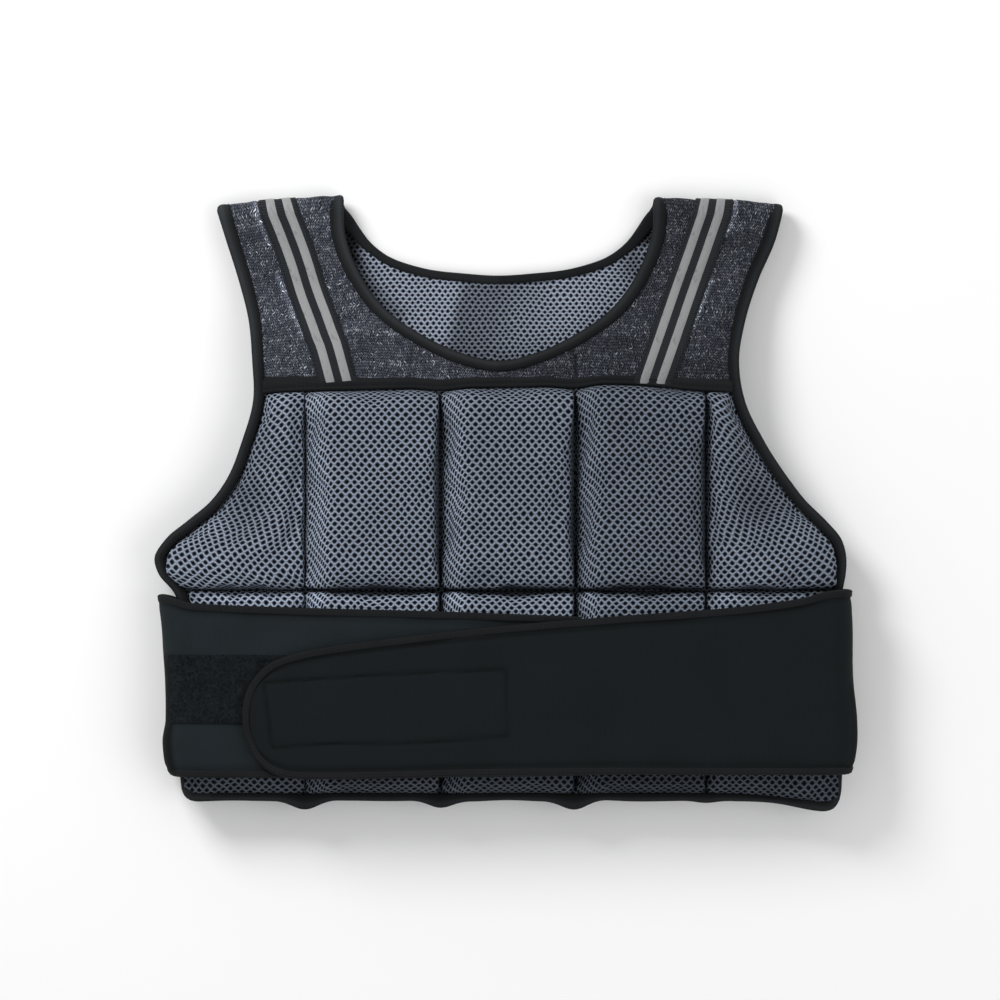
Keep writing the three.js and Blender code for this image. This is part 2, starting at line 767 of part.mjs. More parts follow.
const addPatch = (name, side, height, rows, span, lower) => {
  const middle = downToY(fastener_middle);
  const area = rectangle(
    span.from * half_width,
    middle - fastener_width / 2,
    span.to * half_width,
    middle + fastener_width / 2,
  );
  const above_back = new THREE.BoxGeometry(2 * far, 2 * far, far);
  above_back.translate(0, 0, fold_z + far / 2);
  const inside_rim = beltArea(rows, belt_rim_width + clearance);
  const layer = beltSection(side, height, lower, lower + fastener_wall);
  const patch = layer.intersect(prism(area)).intersect(inside_rim);
  addSolid(name, patch.intersect(toSolid(above_back)), "loop");
};

const addBelt = () => {
  const half = belt_wall / 2;
  addBeltPart("belt_base", -1, base_z, belt_base_rows, [-far, -far, belt_base_end, far]);
  addBeltPart("belt_flap", 1, flap_z, belt_flap_rows, [-far, -far, far, far]);
  addPatch("loop_patch", -1, base_z, belt_base_rows, loop_patch_span, half + clearance);
  const hook_lower = -half - clearance - fastener_wall;
  addPatch("hook_patch", 1, flap_z, belt_flap_rows, hook_patch_span, hook_lower);
};

addPanels();
addYokes();
addYokeSeams();
addEdgeBindings();
addNeckBinding();
addBands("left");
addBands("right");
addPockets();
addBelt();

export default vest;
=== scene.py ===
"""A weighted vest lying on its back: filled mesh pockets, a knitted yoke, bound edges and a belt."""

import math

import bpy
import numpy as np
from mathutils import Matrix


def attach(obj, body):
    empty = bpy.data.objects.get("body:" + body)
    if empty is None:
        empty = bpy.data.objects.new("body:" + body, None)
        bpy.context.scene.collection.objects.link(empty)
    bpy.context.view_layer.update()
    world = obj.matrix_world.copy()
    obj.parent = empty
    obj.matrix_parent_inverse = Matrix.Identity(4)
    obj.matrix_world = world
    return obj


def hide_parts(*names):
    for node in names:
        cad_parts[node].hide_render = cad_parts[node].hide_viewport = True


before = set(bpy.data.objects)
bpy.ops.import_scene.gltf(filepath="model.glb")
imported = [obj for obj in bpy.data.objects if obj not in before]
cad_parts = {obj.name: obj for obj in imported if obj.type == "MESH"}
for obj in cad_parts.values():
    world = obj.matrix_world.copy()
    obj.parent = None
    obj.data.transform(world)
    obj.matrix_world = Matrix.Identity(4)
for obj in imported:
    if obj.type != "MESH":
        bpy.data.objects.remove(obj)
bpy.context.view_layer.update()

# Sizes in millimetres, the same as the solids'
MM = 0.001
half_width = 278.0
top_y = 243.5
fold_radius = 7.5
fold_quarter = fold_radius * math.pi / 2
fold_z = 30.2
full_sink = 17.1
binding_half = 3.2
binding_width = 10.0
tape_shown = 0.87
tape_shown_behind = 0.68
shoulder_slope = 0.08
right_shoulder_slack = 2.5
seam_back = 12.0
neck_width = 245.0
neck_centre = -6.0
front_neck_depth = 131.0
back_neck_depth = 62.0
yoke_length = 152.0
yoke_seam_y = top_y - yoke_length
yoke_seam_dip = 2.0
hem_y = -235.5
hem_split = half_width * 0.84
hem_droop_reach = 26.0
corner_radius = 13.0
pocket_margin = 9.3
hem_margin = 2.2
side_overhang = 6.0
lower_pocket_end = -229.6
pocket_gaps = [2.0, 0.0, 0.9, 0.9, 0.4, 2.0]
front_pocket_z = 39.5
back_pocket_top = 20.9
back_pocket_floor = {"upper": 0.0, "lower": 6.9}
swell_limit = 3.0
swell_steps = 20
panel_inset = 4.0
panel_thickness = 3.0
yoke_inset = 6.0
yoke_thickness = 1.5
stitch_pitch = 3.4
stitch_long = 2.5
stitch_thick = 0.55
back_belt_z = 3.3
belt_wall = 4.0
belt_corner_radius = 17.0
belt_side_drop = 5.0
belt_reach = {"base": 271.0, "flap": 276.5}
belt_height = {"base": 57.1, "flap": 64.0}
belt_base_end = 60.0
belt_inset = 1.6
belt_tip_reach = 60
patch_half = 27.0

# The left and the back are worked backwards
signs = {"left": -1, "right": 1, "front": 1, "back": -1}

edge_table = [
    (0.0, 0.838, 0.8), (0.073, 0.798, 0.768), (0.138, 0.762, 0.719), (0.203, 0.733, 0.682),
    (0.268, 0.722, 0.663), (0.333, 0.719, 0.679), (0.398, 0.75, 0.733), (0.463, 0.796, 0.807),
    (0.496, 0.838, 0.852), (0.528, 0.904, 0.909), (0.56, 0.97, 0.955), (0.59, 1.0, 0.968),
    (0.615, 0.988, 0.966), (0.643, 0.947, 0.957), (0.82, 0.94, 0.955), (0.951, 0.925, 0.955),
]
front_neck_table = [
    (0.0, 1.0), (0.16, 0.995), (0.28, 0.965), (0.43, 0.9), (0.65, 0.745), (0.84, 0.48),
    (0.95, 0.24), (1.0, 0.0),
]
back_neck_table = [
    (0.0, 1.0), (0.138, 0.953), (0.32, 0.9), (0.503, 0.841), (0.686, 0.747), (0.899, 0.502),
    (0.985, 0.217), (1.015, 0.0),
]
pocket_seams = [-0.955, -0.571, -0.187, 0.196, 0.568, 0.93]
hem_droops = [
    (-0.571, 26, 7.0), (-0.187, 24, 5.4), (0.196, 26, 7.2), (0.568, 20, 1.8), (0.9, 62, 8.3),
]
band_table = {
    "left": [
        (235.7, -182.0), (212.5, -171.8), (183.7, -162.3), (158.4, -153.4), (134.3, -144.6),
        (124, -140.4), (94.3, -132.4),
    ],
    "right": [(235.7, 165.5), (95.6, 116.6)],
}
seam_rise_table = [
    (-200, 0.0), (-150, 0.8), (-106, 1.8), (-50, 3.0), (0, 3.5), (50, 4.8), (75, 6.0), (100, 5.5),
    (128, 3.2), (152, 0.8), (180, 0.0),
]
belt_bulges = {
    "base": [
        (-217, -9.0), (-212, -4.0), (-203, -1.0), (-187, 0.8), (-171, -1.4), (-140, -1.6),
        (-108, 0.6), (-76, 4.2),
    ],
    "flap": [
        (-217, -8.0), (-212, -3.6), (-203, -0.4), (-187, 1.5), (-171, 0.8), (-140, -1.6),
        (-108, -3.0), (-76, -3.4),
    ],
}
belt_table = {
    "base": [
        (-1.08, 0.648, 0.944), (-0.97, 0.648, 0.944), (-0.88, 0.662, 0.945), (-0.6, 0.669, 0.945),
        (-0.2, 0.675, 0.944), (0.0, 0.679, 0.943), (0.216, 0.684, 0.941),
    ],
    "flap": [
        (-0.748, 0.848, 0.848), (-0.737, 0.808, 0.884), (-0.705, 0.777, 0.917),
        (-0.66, 0.756, 0.937), (-0.597, 0.743, 0.946), (-0.5, 0.732, 0.947),
        (-0.37, 0.722, 0.946), (-0.02, 0.699, 0.941), (0.31, 0.683, 0.939), (0.64, 0.669, 0.94),
        (0.83, 0.655, 0.94), (0.96, 0.64, 0.94), (1.08, 0.64, 0.94),
    ],
}


# Lines and profiles
def ramp(x, start, length):
    """0 up to a start, then rising to 1 over a length."""
    return np.clip((x - start) / length, 0, 1)


def hump(x, middle, reach):
    """1 in the middle, falling to 0 away from it."""
    return np.exp(-(((x - middle) / reach) ** 2))


def fade(x, reach):
    """1 at 0, falling straight to 0 at the reach."""
    return np.clip(1 - np.abs(x) / reach, 0, 1)


def rise(x, middle, reach):
    """A soft step from 0 to 1."""
    return 1 / (1 + np.exp(-(x - middle) / reach))


def curve(at, known, values, leans):
    """A smooth line through known places, from its values and leans there."""
    i = np.clip(np.searchsorted(known, at, side="right") - 1, 0, len(known) - 2)
    width = known[i + 1] - known[i]
    t = (at - known[i]) / width
    if values.ndim > 1:
        width, t = width[:, None], t[:, None]
    start = (1 + 2 * t) * (1 - t) ** 2 * values[i] + t * (1 - t) ** 2 * width * leans[i]
    end = t * t * (3 - 2 * t) * values[i + 1] - t * t * (1 - t) * width * leans[i + 1]
    return start + end


class Profile:
    """A smooth line through places and values that doesn't swing past them."""

    def __init__(self, rows):
        self.at, self.value = (np.array(column, float) for column in zip(*sorted(rows)))
        slope = np.diff(self.value) / np.diff(self.at)
        product = slope[:-1] * slope[1:]
        total = slope[:-1] + slope[1:]
        inner = np.where(product > 0, 2 * product / np.where(product > 0, total, 1), 0)
        self.lean = np.concatenate([slope[:1], inner, slope[-1:]])

    def __call__(self, at):
        return curve(np.clip(at, self.at[0], self.at[-1]), self.at, self.value, self.lean)


def lengths(line):
    steps = np.linalg.norm(np.diff(line, axis=0), axis=1)
    return np.concatenate([[0], np.cumsum(steps)])


def evenly(line, spacing=None, count=None):
    """The same line as evenly spaced points."""
    line = np.array(line, float)
    at = lengths(line)
    count = count or max(int(round(at[-1] / spacing)), 1)
    places = np.linspace(0, at[-1], count + 1)
    return np.stack([np.interp(places, at, column) for column in line.T], -1)


def smooth_line(points, spacing):
    """A smooth line through points, as evenly spaced points."""
    points = np.array(points, float)
    at = lengths(points)
    fine = np.linspace(0, at[-1], 12 * len(points))
    return evenly(curve(fine, at, points, np.gradient(points, at, axis=0)), spacing)


def unit(rows):
    return rows / np.linalg.norm(rows, axis=1)[:, None]


def sideways(line, closed=False):
    """The direction to the right of a line as it runs, at each of its points."""
    ahead = np.gradient(line, axis=0)
    if closed:
        ahead = np.vstack([line[1:], line[1:2]]) - np.vstack([line[-2:-1], line[:-1]])
    ahead = unit(ahead)
    return np.stack([ahead[:, 1], -ahead[:, 0]], -1)


def moved(line, distance):
    return line + np.reshape(distance, (-1, 1)) * sideways(line)


def ripples(x, y, size, seed, directions=7):
    """Smooth unevenness from -1 to 1 or so, with bumps of about the given size."""
    dice = np.random.default_rng(seed)
    total = 0
    for _ in range(directions):
        turn = dice.uniform(0, 2 * math.pi)
        wave = dice.uniform(0.7, 1.5) * 2 * math.pi / size
        along = x * math.cos(turn) + y * math.sin(turn)
        total = total + np.sin(wave * along + dice.uniform(0, 7))
    return total / math.sqrt(directions)


def near_line(x, y, points, reach):
    """1 on a line of points, falling to 0 away from it."""
    points = np.array(points, float)
    nearest = np.full(np.shape(x), 1e9)
    for start, end in zip(points[:-1], points[1:]):
        along = end - start
        share = ((x - start[0]) * along[0] + (y - start[1]) * along[1]) / (along @ along)
        share = np.clip(share, 0, 1)
        away = np.hypot(x - start[0] - share * along[0], y - start[1] - share * along[1])
        nearest = np.minimum(nearest, away)
    return hump(nearest, 0, reach)


# The folded cloth: v runs from the shoulder fold, down the front above 0 and the back below 0
seam_rise = Profile(seam_rise_table)
sink = Profile([(0.1, 1), (0.18, 1), (0.34, 0.93), (0.5, 0.6), (0.66, 0.2), (0.8, 0), (0.9, 0)])


def down_to_y(share):
    return top_y - share * 2 * top_y


def fold_y(x):
    outward = np.maximum(np.abs(x) - neck_width / 2, 0)
    slack = right_shoulder_slack * hump(x, 125, 48)
    return top_y - fold_radius - binding_half - shoulder_slope * outward - slack


def lay_cloth(x, v, offset):
    reach = fold_radius + offset
    turn = np.clip(v / fold_radius, -math.pi / 2, math.pi / 2)
    run = np.maximum(np.abs(v) - fold_quarter, 0)
    y = fold_y(x) - run + reach * np.cos(turn)
    drop = full_sink * sink((np.abs(v) - fold_quarter) / yoke_length)
    z = fold_z + reach * np.sin(turn) - drop
    return np.stack(np.broadcast_arrays(x, y, z), -1)


def v_at(x, y):
    return fold_quarter + fold_y(x) - y


def y_at(x, v):
    turn = np.clip(np.abs(v) / fold_radius, 0, math.pi / 2)
    run = np.maximum(np.abs(v) - fold_quarter, 0)
    return fold_y(x) - run + fold_radius * np.cos(turn)


def bump_rows(x, places, reach):
    away = [np.minimum(np.abs(x - place * half_width) / reach, 1) for place in places]
    return np.max([0.5 + 0.5 * np.cos(share * math.pi) for share in away], axis=0)


def hem_line_y(x):
    drop = np.zeros(np.shape(x))
    for place, reach, depth in hem_droops:
        rounded = bump_rows(x, [place], reach)
        drop = np.maximum(drop, depth * rounded * (0.55 + 0.45 * rounded))
    return hem_y - drop - 0.4 * ripples(x, 0 * x, 60, 3)


def pocket_end_y(x):
    return lower_pocket_end - 6.5 * ramp(x, 170, 75) ** 1.5


def yoke_dip(x):
    ends = 2.6 * ramp(-x, 150, 55) ** 2 + 1.4 * ramp(x, 150, 50) ** 2
    return yoke_seam_dip * bump_rows(x, pocket_seams[2:4], hem_droop_reach) + ends - seam_rise(x)


def yoke_seam_at(x):
    return yoke_seam_y - yoke_dip(x)


def to_cloth(plan):
    """A line in plan that runs up to the shoulder fold, as points in the cloth."""
    flat = plan[plan[:, 1] < fold_y(plan[:, 0])]
    start = np.stack([flat[:, 0], v_at(flat[:, 0], flat[:, 1])], -1)
    turn = np.linspace(fold_quarter, 0, 9)
    y = fold_y(flat[-1, 0]) + fold_radius * np.cos(turn / fold_radius)
    x = np.interp(y, plan[-40:, 1], plan[-40:, 0])
    return np.vstack([start, np.stack([x, turn], -1)])


def over_the_back(line):
    return line * [1, -1]


def side_edge(side):
    """The vest's edge in plan from the hem up to the shoulder, and the same in the cloth."""
    sign = signs[side]
    column = 1 if side == "left" else 2
    rows = [(sign * row[column] * half_width, down_to_y(row[0])) for row in edge_table]
    corner = np.array(rows[-1])
    hem_end = corner[0] - sign * corner_radius
    hem = [(x, hem_line_y(x)) for x in np.linspace(sign * hem_split, hem_end, 3)]
    start = np.array(hem[-1])
    turn = np.array([corner[0], start[1]])
    bend = [
        (1 - t) ** 2 * start + 2 * t * (1 - t) * turn + t * t * corner for t in (0.25, 0.5, 0.75)
    ]
    plan = smooth_line([*hem, *bend, *reversed(rows)], 3)
    return plan, to_cloth(plan)


def neck_edge(table, depth):
    """The neck opening's edge in the cloth, from the left shoulder round to the right one."""
    crest = top_y - fold_radius
    halves = []
    for sign in (-1, 1):
        rows = [
            (neck_centre + sign * out * neck_width / 2, crest - down * (depth - fold_radius))
            for down, out in reversed(table)
        ]
        rows.append((rows[-1][0], top_y + 4))
        halves.append(rows)
    whole = smooth_line([*reversed(halves[0]), *halves[1][1:]], 2)
    middle = int(np.argmin(whole[:, 1]))
    left = to_cloth(whole[middle::-1])
    right = to_cloth(whole[middle:])
    return np.vstack([left[::-1], right[1:]])


edges = {side: side_edge(side) for side in ("left", "right")}
necks = {
    "front": neck_edge(front_neck_table, front_neck_depth),
    "back": over_the_back(neck_edge(back_neck_table, back_neck_depth)),
}


def edge_x(side, y, inward=0.0):
    """Where the vest's edge is at a height in plan, some way in from it."""
    plan = moved(edges[side][0], -signs[side] * inward)
    rising = plan[plan[:, 1] > hem_y + corner_radius + 2]
    order = np.argsort(rising[:, 1])
    return np.interp(y, rising[order, 1], rising[order, 0])


def band_x(side, v):
    profile = Profile(band_table[side])
    x = np.full(np.shape(v), profile(180))
    for _ in range(2):
        x = profile(y_at(x, v))
    return x


# Making and changing pieces
def choose(piece):
    bpy.ops.object.select_all(action="DESELECT")
    piece.select_set(True)
    bpy.context.view_layer.objects.active = piece


def added(name):
    """The piece that was just added, under its own name."""
    piece = bpy.context.object
    piece.name = name
    piece.data.name = name
    return piece


def flat_grid(name, columns, rows):
    """A flat sheet, the start of most pieces, with each point's share and number both ways."""
    bpy.ops.object.select_all(action="DESELECT")
    bpy.ops.mesh.primitive_grid_add(
        x_subdivisions=columns, y_subdivisions=rows, size=1, location=(0.5, 0.5, 0)
    )
    bpy.ops.object.transform_apply(location=True, rotation=False, scale=False)
    piece = added(name)
    share = points_of(piece)[:, :2]
    return piece, share, np.rint(share * [columns, rows]).astype(int).T


def points_of(piece):
    flat = np.empty(len(piece.data.vertices) * 3)
    piece.data.vertices.foreach_get("co", flat)
    return flat.reshape(-1, 3)


def set_points(piece, points):
    piece.data.vertices.foreach_set("co", np.ascontiguousarray(points, float).ravel())
    piece.data.update()


def mark_cloth(piece, across, along, tone=1.0):
    """Keeps the place in the flat cloth, in metres, and a lightness at every point."""
    count = len(piece.data.vertices)
    values = np.empty((count, 3))
    values[:, 0] = across * MM
    values[:, 1] = along * MM
    values[:, 2] = tone
    layer = piece.data.attributes.new("cloth", "FLOAT_VECTOR", "POINT")
    layer.data.foreach_set("vector", values.ravel())


def edit(piece, *steps):
    choose(piece)
    bpy.ops.object.mode_set(mode="EDIT")
    for step in steps:
        bpy.ops.mesh.select_all(action="SELECT")
        step()
    bpy.ops.object.mode_set(mode="OBJECT")


def join_doubles():
    bpy.ops.mesh.remove_doubles(threshold=0.00002)


def close_ends():
    bpy.ops.mesh.fill_holes(sides=0)


def bridge_open_edges():
    bpy.ops.mesh.select_all(action="DESELECT")
    bpy.ops.mesh.select_mode(type="EDGE")
    bpy.ops.mesh.select_non_manifold(extend=False)
    bpy.ops.mesh.bridge_edge_loops()
    bpy.ops.mesh.select_mode(type="VERT")


def face_outwards():
    bpy.ops.mesh.normals_make_consistent(inside=False)


def modify(piece, kind, **settings):
    choose(piece)
    modifier = piece.modifiers.new(kind.lower(), kind)
    for name, value in settings.items():
        setattr(modifier, name, value)
    bpy.ops.object.modifier_apply(modifier=modifier.name)


def done(piece, finish, *nodes, angle=50):
    """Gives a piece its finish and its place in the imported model."""
    choose(piece)
    bpy.ops.object.shade_smooth_by_angle(angle=math.radians(angle))
    piece.data.materials.clear()
    piece.data.materials.append(finish.material)
    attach(piece, "root")
    if nodes:
        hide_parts(*nodes)


def sweep(name, lay, line, section, turn=1, tone=1.0, wide=None, shine=None, level=False):
    """A closed section run along a line; the section gives ways to the side and off the cloth."""
    section = np.array(section, float)
    piece, _, (column, place) = flat_grid(name, len(line) - 1, len(section))
    spot = section[place % len(section)]
    side = sideways(line, np.allclose(line[0], line[-1]))
    if level:
        side = [1, 0] / np.abs(side[:, :1])
    if wide is not None:
        side = side * wide[:, None]
    at = line[column] + turn * side[column] * spot[:, :1]
    set_points(piece, MM * lay(at[:, 0], at[:, 1], spot[:, 1]))
    if np.ndim(tone):
        tone = np.array(tone)[place % len(section)] * shine[column]
    round_it = lengths(np.vstack([section, section[:1]]))
    mark_cloth(piece, round_it[place], lengths(line)[column], tone)
    edit(piece, join_doubles, close_ends, face_outwards)
    return piece


def sheet_between(name, near, far, rows, lift, tone):
    """A sheet of cloth between two lines with as many points."""
    piece, share, (column, _) = flat_grid(name, len(near) - 1, rows)
    share = share[:, 1:]
    x, v = (near[column] * (1 - share) + far[column] * share).T
    set_points(piece, MM * lay_cloth(x, v, lift(x, v)))
    mark_cloth(piece, x, -v, tone(x, v))
    return piece


def join(pieces):
    choose(pieces[0])
    for piece in pieces:
        piece.select_set(True)
    bpy.ops.object.join()
    return pieces[0]


def stitches(name, lay, line, inward, offset):
    """A row of stitches along a line: one is modelled and copied to each place."""
    bpy.ops.object.select_all(action="DESELECT")
    bpy.ops.mesh.primitive_uv_sphere_add(segments=6, ring_count=4, radius=1)
    piece = added(name)
    edit(piece, face_outwards)
    size = [stitch_long / 2, stitch_thick / 2, stitch_thick * 0.4]
    shape = points_of(piece)[:, [2, 0, 1]] * size
    faces = [list(face.vertices) for face in piece.data.polygons]
    line = evenly(moved(line, inward), stitch_pitch)
    middle = (line[:-1] + line[1:]) / 2
    high = np.full(len(middle), offset)
    at = lay(*middle.T, high)
    ahead = unit(lay(*line[1:].T, high) - at)
    side = unit(np.cross(lay(*middle.T, high + 1.0) - at, ahead))
    turned = np.stack([ahead, side, np.cross(ahead, side)], 1)
    places = (at[:, None, :] + shape[None] @ turned).reshape(-1, 3) * MM
    step = len(shape)
    every = [[i * step + corner for corner in face] for i in range(len(at)) for face in faces]
    piece.data.clear_geometry()
    piece.data.from_pydata(places.tolist(), [], every)
    mark_cloth(piece, places[:, 0] / MM, places[:, 1] / MM)
    return piece


# Materials
class Value:
    """A number in a material's nodes; arithmetic on it adds Math nodes."""

    def __init__(self, finish, socket):
        self.finish = finish
        self.socket = socket

    def __add__(self, other):
        return self.finish.maths("ADD", self, other)

    def __sub__(self, other):
        return self.finish.maths("SUBTRACT", self, other)

    def __rsub__(self, other):
        return self.finish.maths("SUBTRACT", other, self)

    def __mul__(self, other):
        return self.finish.maths("MULTIPLY", self, other)

    __radd__ = __add__
    __rmul__ = __mul__


class Finish:
    """A material built from nodes, with the names of its steps in a maker's words."""

    def __init__(self, name, slot, gloss=0.1):
        self.slot = slot
        self.material = bpy.data.materials.new(name)
        self.material.use_nodes = True
        self.tree = self.material.node_tree
        self.tree.nodes.clear()
        self.shader = self.node("BsdfPrincipled", {"Specular IOR Level": gloss})
        self.node("OutputMaterial", {"Surface": self.shader.outputs[0]})

    def node(self, kind, values, **settings):
        made = self.tree.nodes.new("ShaderNode" + kind)
        for name, value in settings.items():
            setattr(made, name, value)
        for name, value in values.items():
            self.feed(made.inputs[name], value)
        return made

    def feed(self, socket, value):
        if isinstance(value, Value):
            value = value.socket
        if isinstance(value, bpy.types.NodeSocket):
            self.tree.links.new(value, socket)
        else:
            socket.default_value = value[:3] if socket.type == "VECTOR" else value

    def maths(self, operation, *numbers):
        made = self.node("Math", dict(enumerate(numbers)), operation=operation)
        return Value(self, made.outputs[0])

    def place(self, across, along, depth):
        return self.node("CombineXYZ", {"X": across, "Y": along, "Z": depth}).outputs[0]

    def noise(self, across, along, depth, scale, detail=2.0, rough=0.5):
        """Soft noise over the cloth; each depth is another pattern."""
        spot = self.place(across, along, depth)
        values = {"Vector": spot, "Scale": scale, "Detail": detail, "Roughness": rough}
        return Value(self, self.node("TexNoise", values).outputs[0])

    def cells(self, across, along, scale):
        values = {"Vector": self.place(across, along, 0.0), "Scale": scale}
        return Value(self, self.node("TexVoronoi", values).outputs["Distance"])

    def fold(self, number, half):
        """How far a number is from the nearest whole repeat, half a repeat at the most."""
        return self.maths("PINGPONG", number, half)

    def away(self, across, along):
        return self.maths("SQRT", across * across + along * along)

    def wave(self, number, length):
        return self.maths("COSINE", number * (2 * math.pi / length))

    def step(self, number, start, end):
        values = {"Value": number, "From Min": start, "From Max": end}
        made = self.node("MapRange", values, interpolation_type="SMOOTHSTEP")
        return Value(self, made.outputs[0])

    def mix(self, share, first, second):
        return self.node("Mix", {0: share, 6: first, 7: second}, data_type="RGBA").outputs[2]

    def dim(self, colour, amount):
        """A colour times a number."""
        values = {0: colour, "Scale": amount}
        return self.node("VectorMath", values, operation="SCALE").outputs[0]

    def surface(self, colour, rough, height=None, depth=0.0):
        """The finished look; the relief has a height between 0 and 1 and a depth in millimetres."""
        self.feed(self.shader.inputs["Base Color"], colour)
        self.feed(self.shader.inputs["Roughness"], rough)
        if height is not None:
            values = {"Height": height, "Distance": depth * MM, "Strength": 1.0}
            self.feed(self.shader.inputs["Normal"], self.node("Bump", values).outputs[0])
        return self


def cloth_finish(name, slot, gloss=0.1):
    """A new finish, with the place in the flat cloth in millimetres both ways and its lightness."""
    finish = Finish(name, slot, gloss)
    read = finish.node("Attribute", {}, attribute_name="cloth")
    split = finish.node("SeparateXYZ", {"Vector": read.outputs["Vector"]})
    across, along, tone = (Value(finish, socket) for socket in split.outputs)
    return finish, across * 1000.0, along * 1000.0, tone


def shade(red, green, blue):
    """A screen colour as the light it reflects."""
    parts = [part / 255 for part in (red, green, blue)]
    linear = [p / 12.92 if p < 0.04 else ((p + 0.055) / 1.055) ** 2.4 for p in parts]
    return (*linear, 1)


def open_mesh(name, pitch, repeat, strand, knot, hole):
    """Warp-knitted mesh: staggered round holes between bright strands that meet in duller knots; the
    holes are painted near-black and their walls darker, as painted shade, and the strands' brightness
    is partly a painted highlight.
    """
    finish, across, along, tone = cloth_finish(name, "air_mesh")
    wander = finish.noise(across, along, 0.0, 0.045)
    wander_too = finish.noise(along, across, 40.0, 0.05)
    beside = finish.fold(across + (wander - 0.5) * 5.0, pitch / 2)
    below = finish.fold(along + (wander_too - 0.5) * 5.0, repeat / 2)
    first = finish.away(beside, below)
    second = finish.away(pitch / 2 - beside, repeat / 2 - below)
    centre = finish.maths("MINIMUM", first, second)
    between = finish.maths("ABSOLUTE", first - second)
    fibres = finish.noise(across * 1.5, along, 0.0, 1.7, 3.0, 0.65)
    uneven = (fibres - 0.5) * 0.9
    radius = pitch * 0.2
    # Painted shade: the holes are painted near-black, and the wall ring round each hole is painted
    # darker.
    open_part = finish.step(centre + uneven, radius + 0.35, radius - 0.25)
    wall = finish.step(centre + uneven * 0.5, radius + 0.95, radius + 0.3)
    ridge = finish.step(between + uneven, 1.7, 0.1)
    knots = finish.step(centre, pitch * 0.41, pitch * 0.49)
    # The strands are lighter than the knots, partly as a painted highlight on the yarn's ridges, and
    # dimmed by the walls' painted shade.
    bright = ridge * (1 - 0.45 * knots) * (1 - 0.7 * wall)
    patches = finish.noise(across, along, 0.0, 0.016)
    # Painted light and shade from the cloth's lightness and the walls' painted shade, with uneven
    # patches and fibres.
    shade_and_wear = tone * (0.78 + 0.44 * patches) * (0.45 + 1.1 * fibres) * (1 - 0.42 * wall)
    cloth = finish.dim(finish.mix(bright, knot, strand), shade_and_wear)
    height = (1 - open_part) * (0.5 + 0.4 * ridge + 0.2 * knots) + fibres * 0.2
    return finish.surface(finish.mix(open_part, cloth, hole), 0.62 + 0.3 * open_part, height, 1.0)


def knitted(name, slot, yarn, dark, light):
    """Heather knit: rows of small strokes that lean left and right by turns, in marled yarns."""
    finish, across, along, tone = cloth_finish(name, slot)
    row_height = 2.3
    bent = along + (finish.noise(across, along, 0.0, 0.04) - 0.5) * 8.0
    row = finish.maths("FLOOR", bent * (1 / row_height))
    lean = finish.fold(bent, row_height)
    drawn = across + (finish.noise(along, across, 3.0, 0.2) - 0.5) * 5.0
    shifted = drawn + row * 1.37 + lean * 0.6
    strokes = finish.wave(shifted, 1.7) * 0.5 + 0.5
    rows = finish.wave(bent, row_height) * -0.5 + 0.5
    marl = finish.noise(shifted * 0.6, row * 3.7, 0.0, 1.0, 3.0, 0.7)
    fleck = finish.noise(shifted * 1.3, row * 5.3, 9.0, 1.0, 1.0, 0.6)
    band = finish.noise(across * 0.1, bent, 20.0, 0.09)
    pale = finish.step(fleck + (band - 0.5) * 0.16, 0.5, 0.7) * (0.3 + 0.7 * strokes)
    deep = finish.step(strokes * 0.35 + marl * 0.8, 0.66, 0.36)
    cloth = finish.mix(deep, finish.mix(pale, yarn, light), dark)
    # Painted light and shade: the yoke's lightness, painted shade in the lines between the rows, and
    # broad horizontal bands.
    shade_and_wear = tone * (0.5 + 0.5 * rows) * (0.75 + 0.5 * band)
    height = strokes * 0.5 + rows * 0.5 + marl * 0.4
    return finish.surface(finish.dim(cloth, shade_and_wear), 0.95, height, 0.6)


def woven(name, slot, colour, rib, depth, roughness):
    """A close ribbed tape; the ribs run over it and a finer yarn crosses them."""
    finish, around, along, tone = cloth_finish(name, slot)
    ribs = finish.wave(along, rib)
    warp = finish.wave(around, rib * 0.8)
    grain = finish.noise(around * 1.5, along * 1.5, 0.0, 1.4, 3.0, 0.6)
    broad = finish.noise(around, along, 5.0, 0.03)
    light = tone * (0.7 + 0.22 * ribs + 0.12 * warp + 0.35 * grain + 0.4 * (broad - 0.5))
    height = ribs * 0.3 + warp * 0.15 + grain * 0.5
    rough = roughness + 0.15 * (grain - 0.5)
    return finish.surface(finish.dim(colour, light), rough, height, depth)


def foam_cloth(name, slot, colour):
    """Fabric-faced foam rubber: a very fine jersey over a smooth soft body."""
    finish, across, along, tone = cloth_finish(name, slot)
    jersey = finish.wave(across + finish.wave(along, 1.1) * 0.12, 0.95)
    grain = finish.noise(across, along, 0.0, 1.7, 3.0, 0.65)
    soft = finish.noise(across, along, 3.0, 0.02, 3.0)
    dust = finish.step(finish.noise(across, along, 8.0, 0.5), 0.66, 0.8)
    # The broad soft unevenness lightens and darkens the colour as painted shading, besides the relief
    # and the roughness.
    light = tone * (0.74 + 0.1 * jersey + 0.3 * grain + 0.5 * (soft - 0.5) + 0.35 * dust)
    height = jersey * 0.2 + grain * 0.6 + soft * 0.5
    return finish.surface(finish.dim(colour, light), 0.74 + 0.2 * (soft - 0.5), height, 0.35)


def looped_pile(name, slot, colour):
    """The loop side of hook-and-loop: a dense tangle of fine loops."""
    finish, across, along, tone = cloth_finish(name, slot)
    tangle = finish.cells(across, along, 0.42)
    fuzz = finish.noise(across, along, 2.0, 0.6, 4.0, 0.75)
    patches = finish.noise(across, along, 6.0, 0.09)
    light = tone * (0.8 * tangle + 2.6 * (fuzz - 0.33) + 0.6 * (patches - 0.5))
    return finish.surface(finish.dim(colour, light), 1.0, tangle * 0.6 + fuzz, 1.1)


